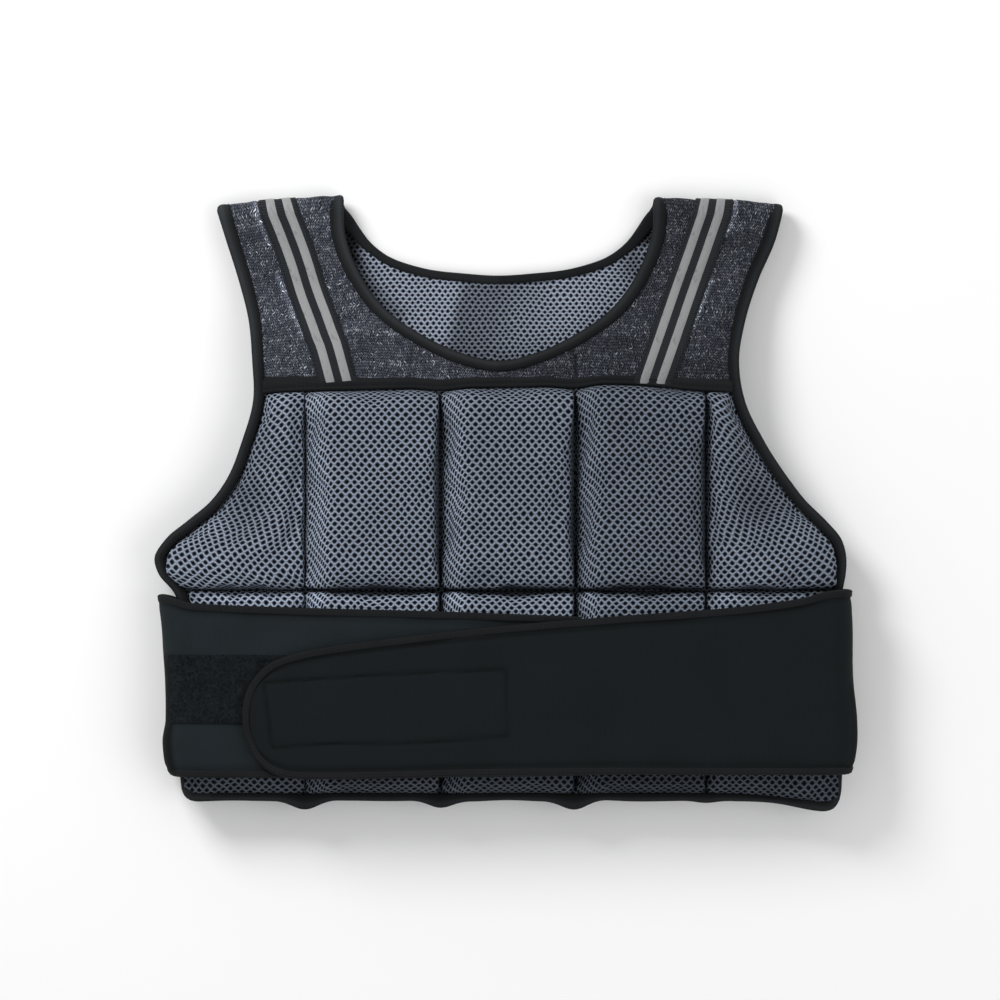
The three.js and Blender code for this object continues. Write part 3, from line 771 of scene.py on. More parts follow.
def reflecting(name, slot, colour, dull):
    """Reflective film on cloth: a fine weave under glass beads, creased, with patches of wear."""
    finish, around, along, tone = cloth_finish(name, slot, gloss=0.3)
    weave = finish.wave(along, 0.9) * finish.wave(around, 0.9)
    beads = finish.noise(around, along, 0.0, 2.4)
    wear = finish.noise(around * 0.6, along * 0.25, 4.0, 0.3, 4.0, 0.7)
    shade_and_wear = finish.step(wear, 0.52, 0.72)
    light = tone * (0.86 + 0.06 * weave + 0.16 * beads)
    film = finish.dim(finish.mix(shade_and_wear * 0.6, colour, dull), light)
    return finish.surface(film, 0.34 + 0.25 * shade_and_wear, weave * 0.4 + beads * 0.4 + wear, 0.25)


pocket_mesh = open_mesh(
    "pocket_mesh", 6.2, 7.05, shade(168, 180, 198), shade(96, 104, 119), shade(3, 5, 10)
)
lining_mesh = open_mesh(
    "lining_mesh", 4.8, 6.4, shade(172, 183, 200), shade(104, 112, 127), shade(4, 6, 11)
)
heather = knitted(
    "heather", "heather_knit", shade(74, 78, 89), shade(24, 26, 32), shade(180, 186, 196)
)
edge_tape = woven("edge_tape", "binding_tape", shade(30, 32, 34), 0.9, 0.3, 0.8)
thread = woven("thread", "binding_tape", shade(20, 21, 23), 0.5, 0.12, 0.7)
webbing = woven("strap_webbing", "webbing", shade(40, 43, 46), 1.6, 0.5, 0.8)
reflector = reflecting("reflector", "reflective_tape", shade(150, 151, 152), shade(96, 97, 100))
belt_foam = foam_cloth("belt_foam", "neoprene", shade(37, 45, 49))
loop_pile = looped_pile("loop_pile", "loop_pile", shade(24, 28, 31))

# Panels: the front one runs over the shoulder to the seam just behind it
seam_v = -(fold_quarter + seam_back)
neck_loop = np.vstack([necks["front"], necks["back"][-2::-1]])


def away_from(x, v, line):
    """How far points in the cloth are from a line of points."""
    return np.hypot(x[:, None] - line[:, 0], v[:, None] - line[:, 1]).min(axis=1)


def nearest(values, goal):
    return int(np.argmin(np.abs(values - goal)))


def neck_x(side, v):
    """The neck opening's edge at ways down the cloth, front above 0 and back below 0."""
    found = []
    for line in necks.values():
        middle = int(np.argmax(np.abs(line[:, 1])))
        half = line[: middle + 1] if side == "left" else line[middle:][::-1]
        found.append(np.interp(np.abs(v), np.abs(half[:, 1]), half[:, 0]))
    return np.where(v >= 0, *found)


# Where each cloth starts, where it turns from the strap to the chest, and half its foot
strap_ends = {"front": (seam_v, 52.0, 76.0), "back": (seam_v - 0.3, 24.2, 70.0)}
strap_outer_x = {"left": -215.0, "right": 200.0}


def strap_lines(which, inset, spacing):
    """Two lines round the neck, beside the opening and along the outer edge and yoke seam."""
    start, turn_v, foot = strap_ends[which]
    sign = signs[which]
    line = necks[which]
    down = np.abs(line[:, 1])
    middle = int(np.argmax(down))
    left = [nearest(down[:middle], turn_v), nearest(line[:middle, 0], neck_centre - foot)]
    right = [nearest(line[middle:, 0], neck_centre + foot), nearest(down[middle:], turn_v)]
    cuts = {"left": left, "right": [middle + cut for cut in right]}
    out_of_neck = moved(line, -sign * inset)
    turn_v = sign * turn_v
    corners = {}
    for side in ("left", "right"):
        x = float(edge_x(side, yoke_seam_y, inset))
        corners[side] = np.array([x, sign * float(v_at(x, yoke_seam_at(x)))])

    def edge_at(side, v):
        y = y_at(np.full(np.shape(v), strap_outer_x[side]), v)
        return np.stack([edge_x(side, y, inset), v], -1)

    def strap(side):
        v = np.linspace(start, turn_v, max(int(abs(start - turn_v) / spacing), 2))
        inner = np.stack([neck_x(side, v) + signs[side] * inset, v], -1)
        return inner, edge_at(side, v)

    def fan(side):
        first, last = cuts[side]
        count = max(int(abs(corners[side][1] - turn_v) / spacing), 3)
        outer = edge_at(side, np.linspace(turn_v, corners[side][1], count + 1))
        outer[-1] = corners[side]
        part = evenly(out_of_neck[first : last + 1], count=count)
        return part, outer[:: -signs[side]]

    ends = corners["left"][0], corners["right"][0]
    count = int(abs(ends[1] - ends[0]) / spacing)
    x = np.linspace(*ends, count + 1)
    seam = np.stack([x, sign * v_at(x, yoke_seam_at(x))], -1)
    foot_part = out_of_neck[cuts["left"][1] : cuts["right"][0] + 1]
    parts = [fan("left"), (evenly(foot_part, count=count), seam), fan("right")]
    if which == "front":
        parts = [strap("left"), *parts, [part[::-1] for part in strap("right")]]
    near, far = (
        np.vstack([*(pair[k][:-1] for pair in parts), parts[-1][k][-1:]]) for k in (0, 1)
    )
    return near, far, x


left_neck = necks["front"][2:60:5]
neck_shadow = np.stack([left_neck[:, 0], y_at(left_neck[:, 0], left_neck[:, 1])], -1)
lining_fold = [(-38.0, 168.0), (-47.0, 125.0)]


def lining_tone(x, v):
    """The shading inside the neck: beyond the fold, at the strap, at the top and under the edge."""
    y = y_at(x, v)
    beyond = x + 36 + 0.236 * (172 - y)
    shaded = rise(beyond, 0, 2.0) * (1 - ramp(beyond, 32, 60))
    dark = np.maximum(rise(-x, 116, 1.2), rise(y, 204.5, 1.6))
    corner = hump(x, 99, 9) * hump(y, 193, 13)
    under = near_line(x, y, neck_shadow, 8.0)
    return (1.0 - 0.53 * shaded) * (1 - 0.88 * dark) * (1 - 0.5 * corner) * (1 - 0.7 * under)


def cloth_panel(which):
    sign = signs[which]
    near, far, x_seam = strap_lines(which, panel_inset, 5.0)

    def lift(x, v):
        y = y_at(x, v)
        height = 0.5 * ripples(x, y, 46, 11 if which == "front" else 12)
        if which == "back":
            faded = np.clip(away_from(x, v, neck_loop) / 14 - 0.5, 0, 1)
            height = height + 2.0 * faded * near_line(x, y, lining_fold, 7.0)
        return sign * height

    def tone(x, v):
        return lining_tone(x, v) if which == "back" else 1.0

    upper = sheet_between(f"{which}_panel_upper", near, far, 14, lift, tone)
    columns = len(x_seam) - 1
    lower, share, (column, _) = flat_grid(f"{which}_panel_cloth", columns, 56)
    right, up = share.T
    low_left, low_right = (float(edge_x(side, hem_y + 20, panel_inset)) for side in edges)
    end_y = hem_line_y(low_left * (1 - right) + low_right * right) + panel_inset + 1.0
    y = yoke_seam_at(x_seam)[column] * up + end_y * (1 - up)
    x = edge_x("left", y, panel_inset) * (1 - right) + edge_x("right", y, panel_inset) * right
    x = np.where(up > 0.999, x_seam[column], x)
    v = sign * v_at(x, y)
    set_points(lower, MM * lay_cloth(x, v, lift(x, v)))
    # The front panel's lower sheet is painted dark: painted shade where it shows between the pockets.
    mark_cloth(lower, x, -v, 0.12 if which == "front" else 1.0)
    panel = join([lower, upper])
    edit(panel, join_doubles, face_outwards)
    modify(panel, "SOLIDIFY", thickness=panel_thickness * MM, offset=0)
    done(panel, lining_mesh, f"{which}_panel", angle=60)
    return panel


cloth_panel("front")
cloth_panel("back")

# Yokes: folds and puckers, each with its reach and height; the bands pull the first six
ridges = [
    ([(-200.7, 237.0), (-188.0, 205.4)], 2.6, 1.0),
    ([(-180.9, 180.1), (-160.4, 132.7)], 2.6, 1.3),
    ([(-165.1, 235.4), (-158.8, 211.7)], 2.4, 1.0),
    ([(-145.4, 172.2), (-139.0, 154.1)], 2.4, 1.0),
    ([(183.3, 236.2), (175.4, 214.1)], 2.4, 1.0),
    ([(162.7, 176.2), (146.9, 138.3)], 2.6, 1.3),
    ([(-131.1, 146.2), (-105.9, 150.9)], 3.0, -1.2),
    ([(-118.0, 131.0), (-96.0, 141.0)], 5.0, 0.9),
    ([(-74.3, 120.9), (-77.4, 97.0)], 2.0, -1.3),
    ([(55.0, 117.7), (55.0, 97.0)], 2.0, -1.3),
    ([(108.0, 131.0), (88.0, 141.0)], 5.0, 0.8),
    ([(-188.0, 160.0), (-176.0, 118.0)], 6.0, 0.9),
    ([(176.0, 165.0), (166.0, 120.0)], 6.0, 0.9),
]
pulled_edges = [points for points, _, _ in ridges[:6]]


def yoke(which, spacing, rows):
    near, far, _ = strap_lines(which, yoke_inset, spacing)

    def lift(x, v):
        y = y_at(x, v)
        sides = np.minimum(np.abs(x - edge_x("left", y)), np.abs(x - edge_x("right", y)))
        to_edge = np.minimum(sides, away_from(x, v, neck_loop)) - binding_width
        to_seam = np.abs(v_at(x, yoke_seam_y)) - np.abs(v) - 5
        puff = 1.0 - np.exp(-np.maximum(np.minimum(to_edge, to_seam), 0) / 6.0)
        bands = np.minimum(np.abs(x - band_x("left", v)), np.abs(x - band_x("right", v)))
        puff = puff * (1 - 0.95 * np.exp(-np.maximum(bands - 15.5, 0) / 4.0))
        height = 2.2 + puff * (1.0 + 0.35 * ripples(x, y, 24, 21) + 0.3 * ripples(0 * x, y, 17, 22))
        height = height + 1.5 * hump(v, 0, 14)
        if which == "front":
            for points, reach, tall in ridges:
                height = height + tall * near_line(x, y, points, reach)
        return height

    def tone(x, v):
        y = y_at(x, v)
        # The knit is painted darker right of the middle, as shade away from the light on the left,
        # with a little uneven tone.
        light = 1.0 - 0.38 * rise(x, -30, 14) + 0.06 * ripples(x, v, 40, 23)
        # Painted shade in the creases that dip.
        for points, reach, tall in ridges:
            if tall < 0:
                light = light - 0.4 * near_line(x, y, points, reach * 0.8)
        # A painted highlight along the edges that the bands pull up.
        if which == "front":
            for points in pulled_edges:
                light = light + 2.0 * near_line(x, y, points, 1.5)
        return light

    piece = sheet_between(f"{which}_yoke_knit", near, far, rows, lift, tone)
    edit(piece, face_outwards)
    modify(piece, "SOLIDIFY", thickness=yoke_thickness * MM, offset=0)
    done(piece, heather, f"{which}_yoke")


yoke("front", 2.2, 44)
yoke("back", 3.6, 26)

yoke_seam_section = [
    (-5.5, 2.6), (-5.4, 3.2), (-4.2, 3.8), (-2.6, 4.4), (-1.2, 4.3), (0.2, 3.6),
    (1.4, 4.0), (2.6, 4.0), (3.6, 3.2), (4, 2.3), (4, 1.7), (0, 1.6),
]


def yoke_seam(which):
    sign = signs[which]
    left, right = (float(edge_x(side, yoke_seam_y, 7.0)) for side in edges)
    x = np.linspace(left, right, 130)
    line = np.stack([x, sign * v_at(x, yoke_seam_at(x))], -1)

    def lay(x, v, offset):
        above = np.maximum(v_at(x, yoke_seam_at(x)) - np.abs(v) - 1, 0)
        wider = 0.9 * hump(x, left, 55) + 0.3 * hump(x, right, 45)
        wider = wider - 0.45 * hump(x, 80, 38) - 0.2 * hump(x, 0, 60)
        return lay_cloth(x, sign * (np.abs(v) - above * wider), offset)

    piece = sweep(f"{which}_yoke_seam_tape", lay, line, yoke_seam_section, -sign)
    done(piece, edge_tape, f"{which}_yoke_seam")
    done(stitches(f"{which}_yoke_stitches", lay_cloth, line, 0, 3.65), thread)


yoke_seam("front")
yoke_seam("back")


# Bindings: tape folded over every edge
def lay_binding(x, v, offset):
    """Lays the tape, which is thicker where the yoke lies on the panel."""
    lifted = offset + np.where(offset > 1, 1.3, 0) * ramp(-np.abs(v), 4 - yoke_length, 10)
    uneven = 0.25 * ripples(x, v, 30, 31) + 0.12 * ripples(x, v, 9, 32)
    return lay_cloth(x, v, lifted + np.sign(offset) * uneven * (np.abs(offset) > 2))


binding_section = [
    (10.0, 1.9), (10.0, 2.6), (9.2, 3.2), (7.6, 3.1), (5.4, 3.6), (3.2, 3.5), (1.5, 2.9),
    (0.45, 1.7), (0.0, 0.0), (0.45, -1.7), (1.5, -2.8), (3.2, -3.2), (6.0, -3.3), (9.2, -3.1),
    (10.0, -2.6), (10.0, -1.8), (5.0, -1.7), (1.4, -1.5), (1.2, 0.0), (1.4, 1.5), (5.0, 1.7),
]
# Painted light and shade round the tape's section: painted shade at its inner edge beside the mesh, a
# painted highlight along its outer half.
binding_tones = [0.25, 0.3, 0.55, 0.6, 0.95, 1.55, 1.4, 0.8] + [0.7] * 13


def bind(name, line, turn, node):
    """Binds an edge; the tape left of the neck's middle catches the light."""
    line = evenly(line, 3.2)
    x, v = line.T
    wide = np.full(len(line), tape_shown)
    if name == "neck_tape":
        behind = ramp(-v, 16, 26)
        wide = wide + (tape_shown_behind - tape_shown) * behind
        wide = wide + 0.27 * (1 - behind) * fade(v, 105)
    elif name == "front_hem_tape":
        wide = (pocket_end_y(x) + 0.4 - hem_line_y(x)) / binding_width
    elif "side" in name:
        wide = wide + 0.2 * fade(v, 150)
    shine = 1 + np.where(x < neck_centre, 0.9, 0.1) * fade(v, 190)
    piece = sweep(name, lay_binding, line, binding_section, turn, binding_tones, wide, shine)
    done(piece, edge_tape, node, angle=70)
    for number, lift in enumerate((3.25, -3.3), 1):
        row = stitches(f"{name}_stitches_{number}", lay_binding, line, turn * 8.3 * wide, lift)
        done(row, thread)


for side, (_, half) in edges.items():
    line = np.vstack([half, over_the_back(half)[-2::-1]])
    bind(f"{side}_side_tape", line, signs[side], f"{side}_side_binding")
x = np.linspace(-hem_split, hem_split, 160)
line = np.stack([x, v_at(x, hem_line_y(x))], -1)
bind("front_hem_tape", line, 1, "front_hem_binding")
bind("back_hem_tape", over_the_back(line), -1, "back_hem_binding")
bind("neck_tape", neck_loop, -1, "neck_binding")

# Reflective bands over the shoulders
stripe_shift = {"left": -0.6, "right": 1.2}
# The right band's stripes are painted darker: painted shade away from the light.
stripe_tone = {"left": 1.0, "right": 0.87}
band_section = [
    (-15, 3.5), (-15, 4.2), (-14.4, 4.7), (-11, 4.8), (-3, 4.8), (0, 4.6), (3, 4.8),
    (11, 4.8), (14.4, 4.7), (15, 4.2), (15, 3.5), (0, 3.4),
]
stripe_section = [
    (-3.3, 4.6), (-3.3, 4.9), (-3.0, 5.1), (0, 5.2), (3.0, 5.1), (3.3, 4.9), (3.3, 4.6),
]


def band(side, seed):
    v = np.linspace(-1, 1, 110) * (float(v_at(150.0, yoke_seam_y)) - 1)
    line = np.stack([band_x(side, v) + 0.25 * ripples(v, 0 * v, 60, seed), v], -1)

    def lay(x, v, offset):
        end = np.clip((np.abs(v) - v_at(x, yoke_seam_y) + 9) / 8, 0, 1)
        over_fold = 1.2 * hump(v, 0, 16)
        return lay_cloth(x, v, offset + over_fold + 0.25 * ripples(x, v, 26, seed + 2) - 1.2 * end)

    done(sweep(f"{side}_strap", lay, line, band_section, level=True), webbing, f"{side}_band")
    for name, place in (("first", -6.3), ("second", 6.3)):
        flat = [(across + place + stripe_shift[side], tall) for across, tall in stripe_section]
        light = stripe_tone[side]
        stripe = sweep(f"{side}_reflector_{name}", lay, line, flat, -1, light, level=True)
        done(stripe, reflector, f"{side}_stripe_{name}")
    for name, across in (("outer", -13.4), ("inner", 13.4)):
        done(stitches(f"{side}_strap_stitches_{name}", lay, line, across, 4.8), thread)


band("left", 41)
band("right", 42)

# Filled pockets
across_middle = [
    (0.0, 0.0), (0.005, 0.4), (0.03, 0.5), (0.085, 0.74), (0.15, 0.92), (0.24, 0.985), (0.5, 1.0),
    (0.8, 1.0), (0.94, 0.985), (0.983, 0.93), (0.996, 0.7), (1.0, 0.0),
]
across_left = [
    (0.0, 0.0), (0.015, 0.3), (0.09, 0.56), (0.35, 0.76), (0.65, 0.7), (0.88, 0.52),
    (0.985, 0.44), (0.995, 0.3), (1.0, 0.0),
]
across_right = [
    (0.0, 0.0), (0.006, 0.45), (0.05, 0.62), (0.13, 0.78), (0.25, 0.88), (0.5, 0.9), (0.75, 0.78),
    (0.92, 0.55), (0.985, 0.3), (1.0, 0.0),
]
across_front = [
    Profile(rows) for rows in (across_left, across_middle, across_middle, across_middle, across_right)
]
down_front = {
    "upper": Profile(
        [
            (0.0, 0.0), (0.006, 0.4), (0.04, 0.8), (0.12, 0.96), (0.5, 1.0), (0.9, 1.0),
            (0.972, 0.93), (0.995, 0.7), (1.0, 0.0),
        ]
    ),
    "lower": Profile(
        [
            (0.0, 0.0), (0.005, 0.6), (0.025, 0.82), (0.08, 0.96), (0.5, 1.0), (0.86, 0.99),
            (0.95, 0.86), (0.992, 0.45), (1.0, 0.0),
        ]
    ),
}
even_back = Profile([(0.0, 0.0), (0.02, 0.5), (0.07, 0.86), (0.16, 1.0), (0.5, 1.0)])
pocket_places = [0, 0.005, 0.015, 0.03, 0.055, 0.085, 0.12]


def spread(step):
    """Shares from 0 to 1, closer together towards both ends."""
    count = len(np.arange(0.16, 0.841, step))
    start = np.array(pocket_places)
    return np.concatenate([start, np.linspace(0.16, 0.84, count), 1 - start[::-1]])


def pocket_side(column, y, end):
    """Where a pocket's left side is, or its right one where end is 1."""
    seam = column + end
    place = pocket_seams[seam] * half_width + (1 - 2 * end) * pocket_gaps[seam] / 2
    if 0 < seam < 5:
        return np.full(np.shape(y), place)
    side = ("left", "right")[end]
    out = signs[side] * ramp(-y, 195, 17)
    edge = edge_x(side, y, pocket_margin) + out * (pocket_margin - hem_margin)
    return (np.maximum, np.minimum)[end](place + 8 * out, edge)


dents = {
    0: [(-197.0, 48.0, 16.0, 0.16), (-211.0, 3.0, 26.0, 0.38)],
    4: [(217.0, 19.0, 40.0, 0.36), (196.0, -6.0, 18.0, 0.2)],
}
pocket_rows = {
    "upper": (yoke_seam_y - 4.3, 155.6, 20.0),
    "lower": (yoke_seam_y - 160.7, yoke_seam_y - 160.7 - lower_pocket_end, 14.0),
}
pocket_creases = {
    4: [
        ([(158.5, -41.0), (176.7, -31.0), (208.0, -6.0)], 3.5, -2.0),
        ([(164.0, -50.0), (183.0, -40.0), (214.0, -16.0)], 5.0, 1.4),
    ],
    0: [([(-238.0, -42.0), (-196.0, -26.0)], 5.0, -1.2)],
}
shades = {
    0: [(-196.0, 47.0, 15.0, 0.3), (-207.0, 2.0, 20.0, 0.42)],
    4: [(203.0, -1.0, 25.0, 0.45), (180.0, 40.0, 18.0, 0.2)],
}
# Each column's lightness is painted light and shade: the columns lie lighter or darker as the light
# falls on them.
tones = {0: 0.79, 1: 0.71, 2: 0.64, 3: 0.49, 4: 0.68}
left_shadow = [0, 0, 0.2, 0.2, 0]
right_shadow = [0.1, 0.55, 0.55, 0.35, 0]
end_shadow = [0.3, 0.75, 0.8, 0.8, 0.25]


def belt_drop(x):
    reach = belt_reach["base"] - belt_wall / 2 - belt_corner_radius
    return belt_side_drop * np.minimum(np.abs(x) / reach, 1) ** 2


def pocket_shape(which, row, column):
    """The pocket's outer cloth as rows of points, and the height of the cloth under it."""
    top, length, crown = pocket_rows[row]
    share_x, share_y = np.meshgrid(spread(0.045), spread(0.032))
    level = top - share_y * length
    near_end = np.minimum(share_y, 1 - share_y) * length
    rounding = np.where(near_end < 5, 5 - np.sqrt(np.maximum(25 - (5 - near_end) ** 2, 0)), 0)
    left = pocket_side(column, level, 0) + rounding
    right = pocket_side(column, level, 1) - rounding
    x = left * (1 - share_x) + right * share_x
    if row == "upper":
        y = level - (1 - share_y) * yoke_dip(x)
    else:
        y = level + share_y**3 * (pocket_end_y(x) - lower_pocket_end)
    if which == "front":
        height = crown * across_front[column](share_x) * down_front[row](share_y)
        if row == "lower":
            height = height * (crown - belt_drop(x)) / crown
        else:
            for place_x, place_y, reach, depth in dents.get(column, []):
                away = np.hypot(x - place_x, y - place_y)
                height = height * (1 - depth * hump(away, 0, reach))
        return np.stack([x, y, front_pocket_z + height], -1), front_pocket_z
    fall = even_back(np.minimum(share_x, 1 - share_x)) * even_back(np.minimum(share_y, 1 - share_y))
    z = back_pocket_top - fall * (back_pocket_top - back_pocket_floor[row])
    return np.stack([x, y, z], -1), back_pocket_top


def unrolled(places, axis):
    steps = np.linalg.norm(np.diff(places, axis=axis), axis=2)
    total = np.cumsum(steps, axis=axis)
    start = np.zeros_like(np.take(total, [0], axis=axis))
    total = np.concatenate([start, total], axis=axis)
    middle = total.shape[axis] // 2
    return total - np.take(total, [middle], axis=axis)


def pocket_tone(row, column, x, y, left, right):
    """How light a front pocket's cloth is, as painted light and shade: the column's lightness, a
    highlight on the middle pockets' left slopes, and shade in its hollows, at its seams and towards
    the hem.
    """
    tone = tones[column]
    # A painted highlight on the lit left slope of the middle pockets.
    if column in (1, 2, 3):
        tone = tone * (0.97 + 0.5 * hump((x - left) / (right - left), 0.09, 0.08))
    for place_x, place_y, reach, depth in shades.get(column, []):
        tone = tone * (1 - depth * hump(np.hypot(x - place_x, (y - place_y) * 0.8), 0, reach))
    top, length, _ = pocket_rows[row]
    end_gap = top - length - y if row == "upper" else y - top
    tone = tone * (1 - end_shadow[column] * hump(end_gap, 0, 1.5))
    tone = tone * (1 - left_shadow[column] * hump(x - left, 0, 1.3))
    tone = tone * (1 - right_shadow[column] * hump(right - x, 0, 1.5))
    # The lower row is lighter overall, with painted shade towards the hem.
    if row == "lower":
        tone = tone * 1.45 * (1 - 0.77 * ramp(-y, 195, 15))
    return tone


def pocket(which, row, column):
    outer, under = pocket_shape(which, row, column)
    rows, columns = outer.shape[0] - 1, outer.shape[1] - 1
    piece, _, (i, j) = flat_grid(f"{which}_{row}_pocket_{column + 1}", columns, rows)
    j = rows - j
    middle = outer[rows // 2, columns // 2]
    across = unrolled(outer, 1)[j, i] + middle[0]
    along = -unrolled(outer, 0)[j, i] + middle[1]
    places = outer[j, i]
    x, y, _ = places.T
    left, right = outer[j, 0, 0], outer[j, -1, 0]
    tone = tones[column]
    if which == "front":
        tone = pocket_tone(row, column, x, y, left, right)
        if column in (1, 2, 3):
            flank = np.minimum(x - left - 18, 0)
            along = along - 0.95 * flank
            across = across + 0.7 * flank
    mark_cloth(piece, across, along, tone)
    edit(piece, bpy.ops.mesh.duplicate)
    flat = places.copy()
    flat[:, 2] = under
    set_points(piece, MM * np.vstack([places, flat]))
    edit(piece, join_doubles, face_outwards)
    held = piece.vertex_groups.new(name="held")
    fixed = np.flatnonzero(np.abs(points_of(piece)[:, 2] - MM * under) < 0.0001)
    held.add(fixed.tolist(), 1.0, "REPLACE")
    return piece


def fill_pockets(pieces):
    """Lets the filling swell every pocket's cloth, which is cut a little loose."""
    for piece in pieces:
        modifier = piece.modifiers.new("filling", "CLOTH")
        cloth = modifier.settings
        cloth.quality = 4
        cloth.mass = 0.2
        cloth.use_pressure = True
        cloth.uniform_pressure_force = 4
        cloth.shrink_min = -0.03
        cloth.effector_weights.gravity = 0
        cloth.vertex_group_mass = "held"
        modifier.point_cache.frame_start = 1
        modifier.point_cache.frame_end = swell_steps
    for step in range(swell_steps):
        bpy.context.scene.frame_set(step + 1)
    for piece in pieces:
        before = points_of(piece)
        choose(piece)
        bpy.ops.object.modifier_apply(modifier="filling")
        shift = points_of(piece) - before
        far = np.linalg.norm(shift, axis=1)[:, None]
        kept = np.minimum(1, swell_limit * MM / np.maximum(far, 1e-9))
        set_points(piece, before + shift * kept)
    bpy.context.scene.frame_set(1)


def finish_pocket(piece, which, row, column):
    modify(piece, "SUBSURF", levels=1, render_levels=1)
    points = points_of(piece) / MM
    x, y, z = points.T
    seed = 100 + column + (10 if row == "lower" else 0) + (20 if which == "back" else 0)
    top, length, crown = pocket_rows[row]
    if which == "front":
        left = pocket_side(column, y, 0)
        right = pocket_side(column, y, 1)
        rim = np.minimum(np.minimum(x - left, right - x), np.minimum(top - y, y - top + length))
        pucker = np.exp(-np.maximum(rim, 0) / 9.0) * ripples(x, y, 9, seed + 50)
        lift = 0.75 * ripples(x, y, 38, seed) + 0.4 * pucker
        if row == "upper":
            for line, reach, tall in pocket_creases.get(column, []):
                lift = lift + tall * near_line(x, y, line, reach)
        z = z + lift * ramp(z, front_pocket_z, crown)
        if row == "upper" and column in (0, 4):
            side = x - left if column == 0 else right - x
            over = np.clip(1 - side / 30, 0, 1) ** 1.5 * ramp(z, 42, 3) * hump(y, -56, 20)
            x = x + (-1 if column == 0 else 1) * side_overhang * over
        if row == "lower":
            z = np.minimum(z, 53.2 - belt_drop(x))
    else:
        floor = back_pocket_floor[row]
        down = np.clip((back_pocket_top - z) / (back_pocket_top - floor), 0, 1)
        z = z - 0.8 * down * (1 - down) * ripples(x, y, 20, seed)
        z = np.clip(z, floor, back_pocket_top)
    set_points(piece, MM * np.stack([x, y, z], -1))
    done(piece, pocket_mesh, f"{which}_pocket_{row}_{column + 1}", angle=80)


pockets = [
    (pocket(which, row, column), which, row, column)
    for which in ("front", "back")
    for row in ("upper", "lower")
    for column in range(5)
]
fill_pockets([entry[0] for entry in pockets])
for entry in pockets:
    finish_pocket(*entry)


# The belt: two halves that bend round the sides; a runs along each from the middle of the back
def belt_path(part):
    height = belt_height[part]
    middle = belt_reach[part] - belt_wall / 2
    radius = belt_corner_radius
    turn_x = middle - radius
    points = [(x, back_belt_z) for x in np.linspace(0.15, turn_x, 60)]
    right_angle = math.pi / 2
    bends = ((back_belt_z + radius, -right_angle), (height - belt_side_drop - radius, 0.0))
    for z, start in bends:
        for turn in np.linspace(start, start + right_angle, 14)[1:]:
            points.append((turn_x + radius * math.cos(turn), z + radius * math.sin(turn)))
    for x in np.linspace(turn_x, -half_width, 140)[1:]:
        points.append((x, height - float(belt_drop(x))))
    return evenly(points, 2.0)


class BeltHalf:
    """Half of the belt, as a way of laying points along, across and off it."""

    def __init__(self, part):
        self.sign = -1 if part == "base" else 1
        self.path = belt_path(part)
        self.at = lengths(self.path)
        self.out = sideways(self.path)
        self.bulge = Profile(belt_bulges[part])
        x, *sides = np.array(belt_table[part]).T
        self.tip = x[0] * half_width if part == "flap" else None
        places = self.drawn(x * half_width)
        self.sides = [Profile(zip(places, down_to_y(side))) for side in sides]

    def drawn(self, x):
        """Places along the front, drawn out towards a rounded tip."""
        return x if self.tip is None else np.sqrt(np.maximum(x - self.tip, 0))

    def x(self, a):
        return self.sign * np.interp(a, self.at, self.path[:, 0])

    def a(self, x):
        """The way along the belt to a place on its front."""
        front = self.at > self.at[-1] - 2 * half_width + 10
        return np.interp(-self.sign * x, -self.path[front, 0], self.at[front])

    def edges_y(self, x):
        """The belt's top and lower edge at places on its front."""
        return [side(self.drawn(x)) for side in self.sides]

    def lay(self, a, y, offset):
        x, z = (np.interp(a, self.at, column) for column in self.path.T)
        x = x + self.bulge(y) * ramp(x, 0.8 * half_width, 0.17 * half_width)
        out = np.stack([np.interp(a, self.at, column) for column in self.out.T])
        out_x, out_z = out / np.hypot(*out)
        x = self.sign * (x + offset * out_x)
        return np.stack(np.broadcast_arrays(x, y, z + offset * out_z), -1)

    def columns(self):
        """Places along this half, closer together towards a rounded tip."""
        if self.tip is None:
            return np.linspace(0, self.a(belt_base_end), 250)
        body = np.linspace(0, self.a(self.tip + belt_tip_reach), 250)[:-1]
        towards = np.linspace(math.sqrt(belt_tip_reach), 0, 34)
        return np.concatenate([body, self.a(self.tip + towards**2)])


belts = {part: BeltHalf(part) for part in ("base", "flap")}
stitch_box = [
    (-190.4, -141.4), (-157.2, -139.0), (-67.9, -133.5), (-2.4, -131.1), (0.8, -134.0),
    (1.6, -180.9), (-0.5, -183.7), (-67.9, -188.8), (-139.0, -189.6), (-184.1, -192.8),
]
stitch_box.append(stitch_box[0])


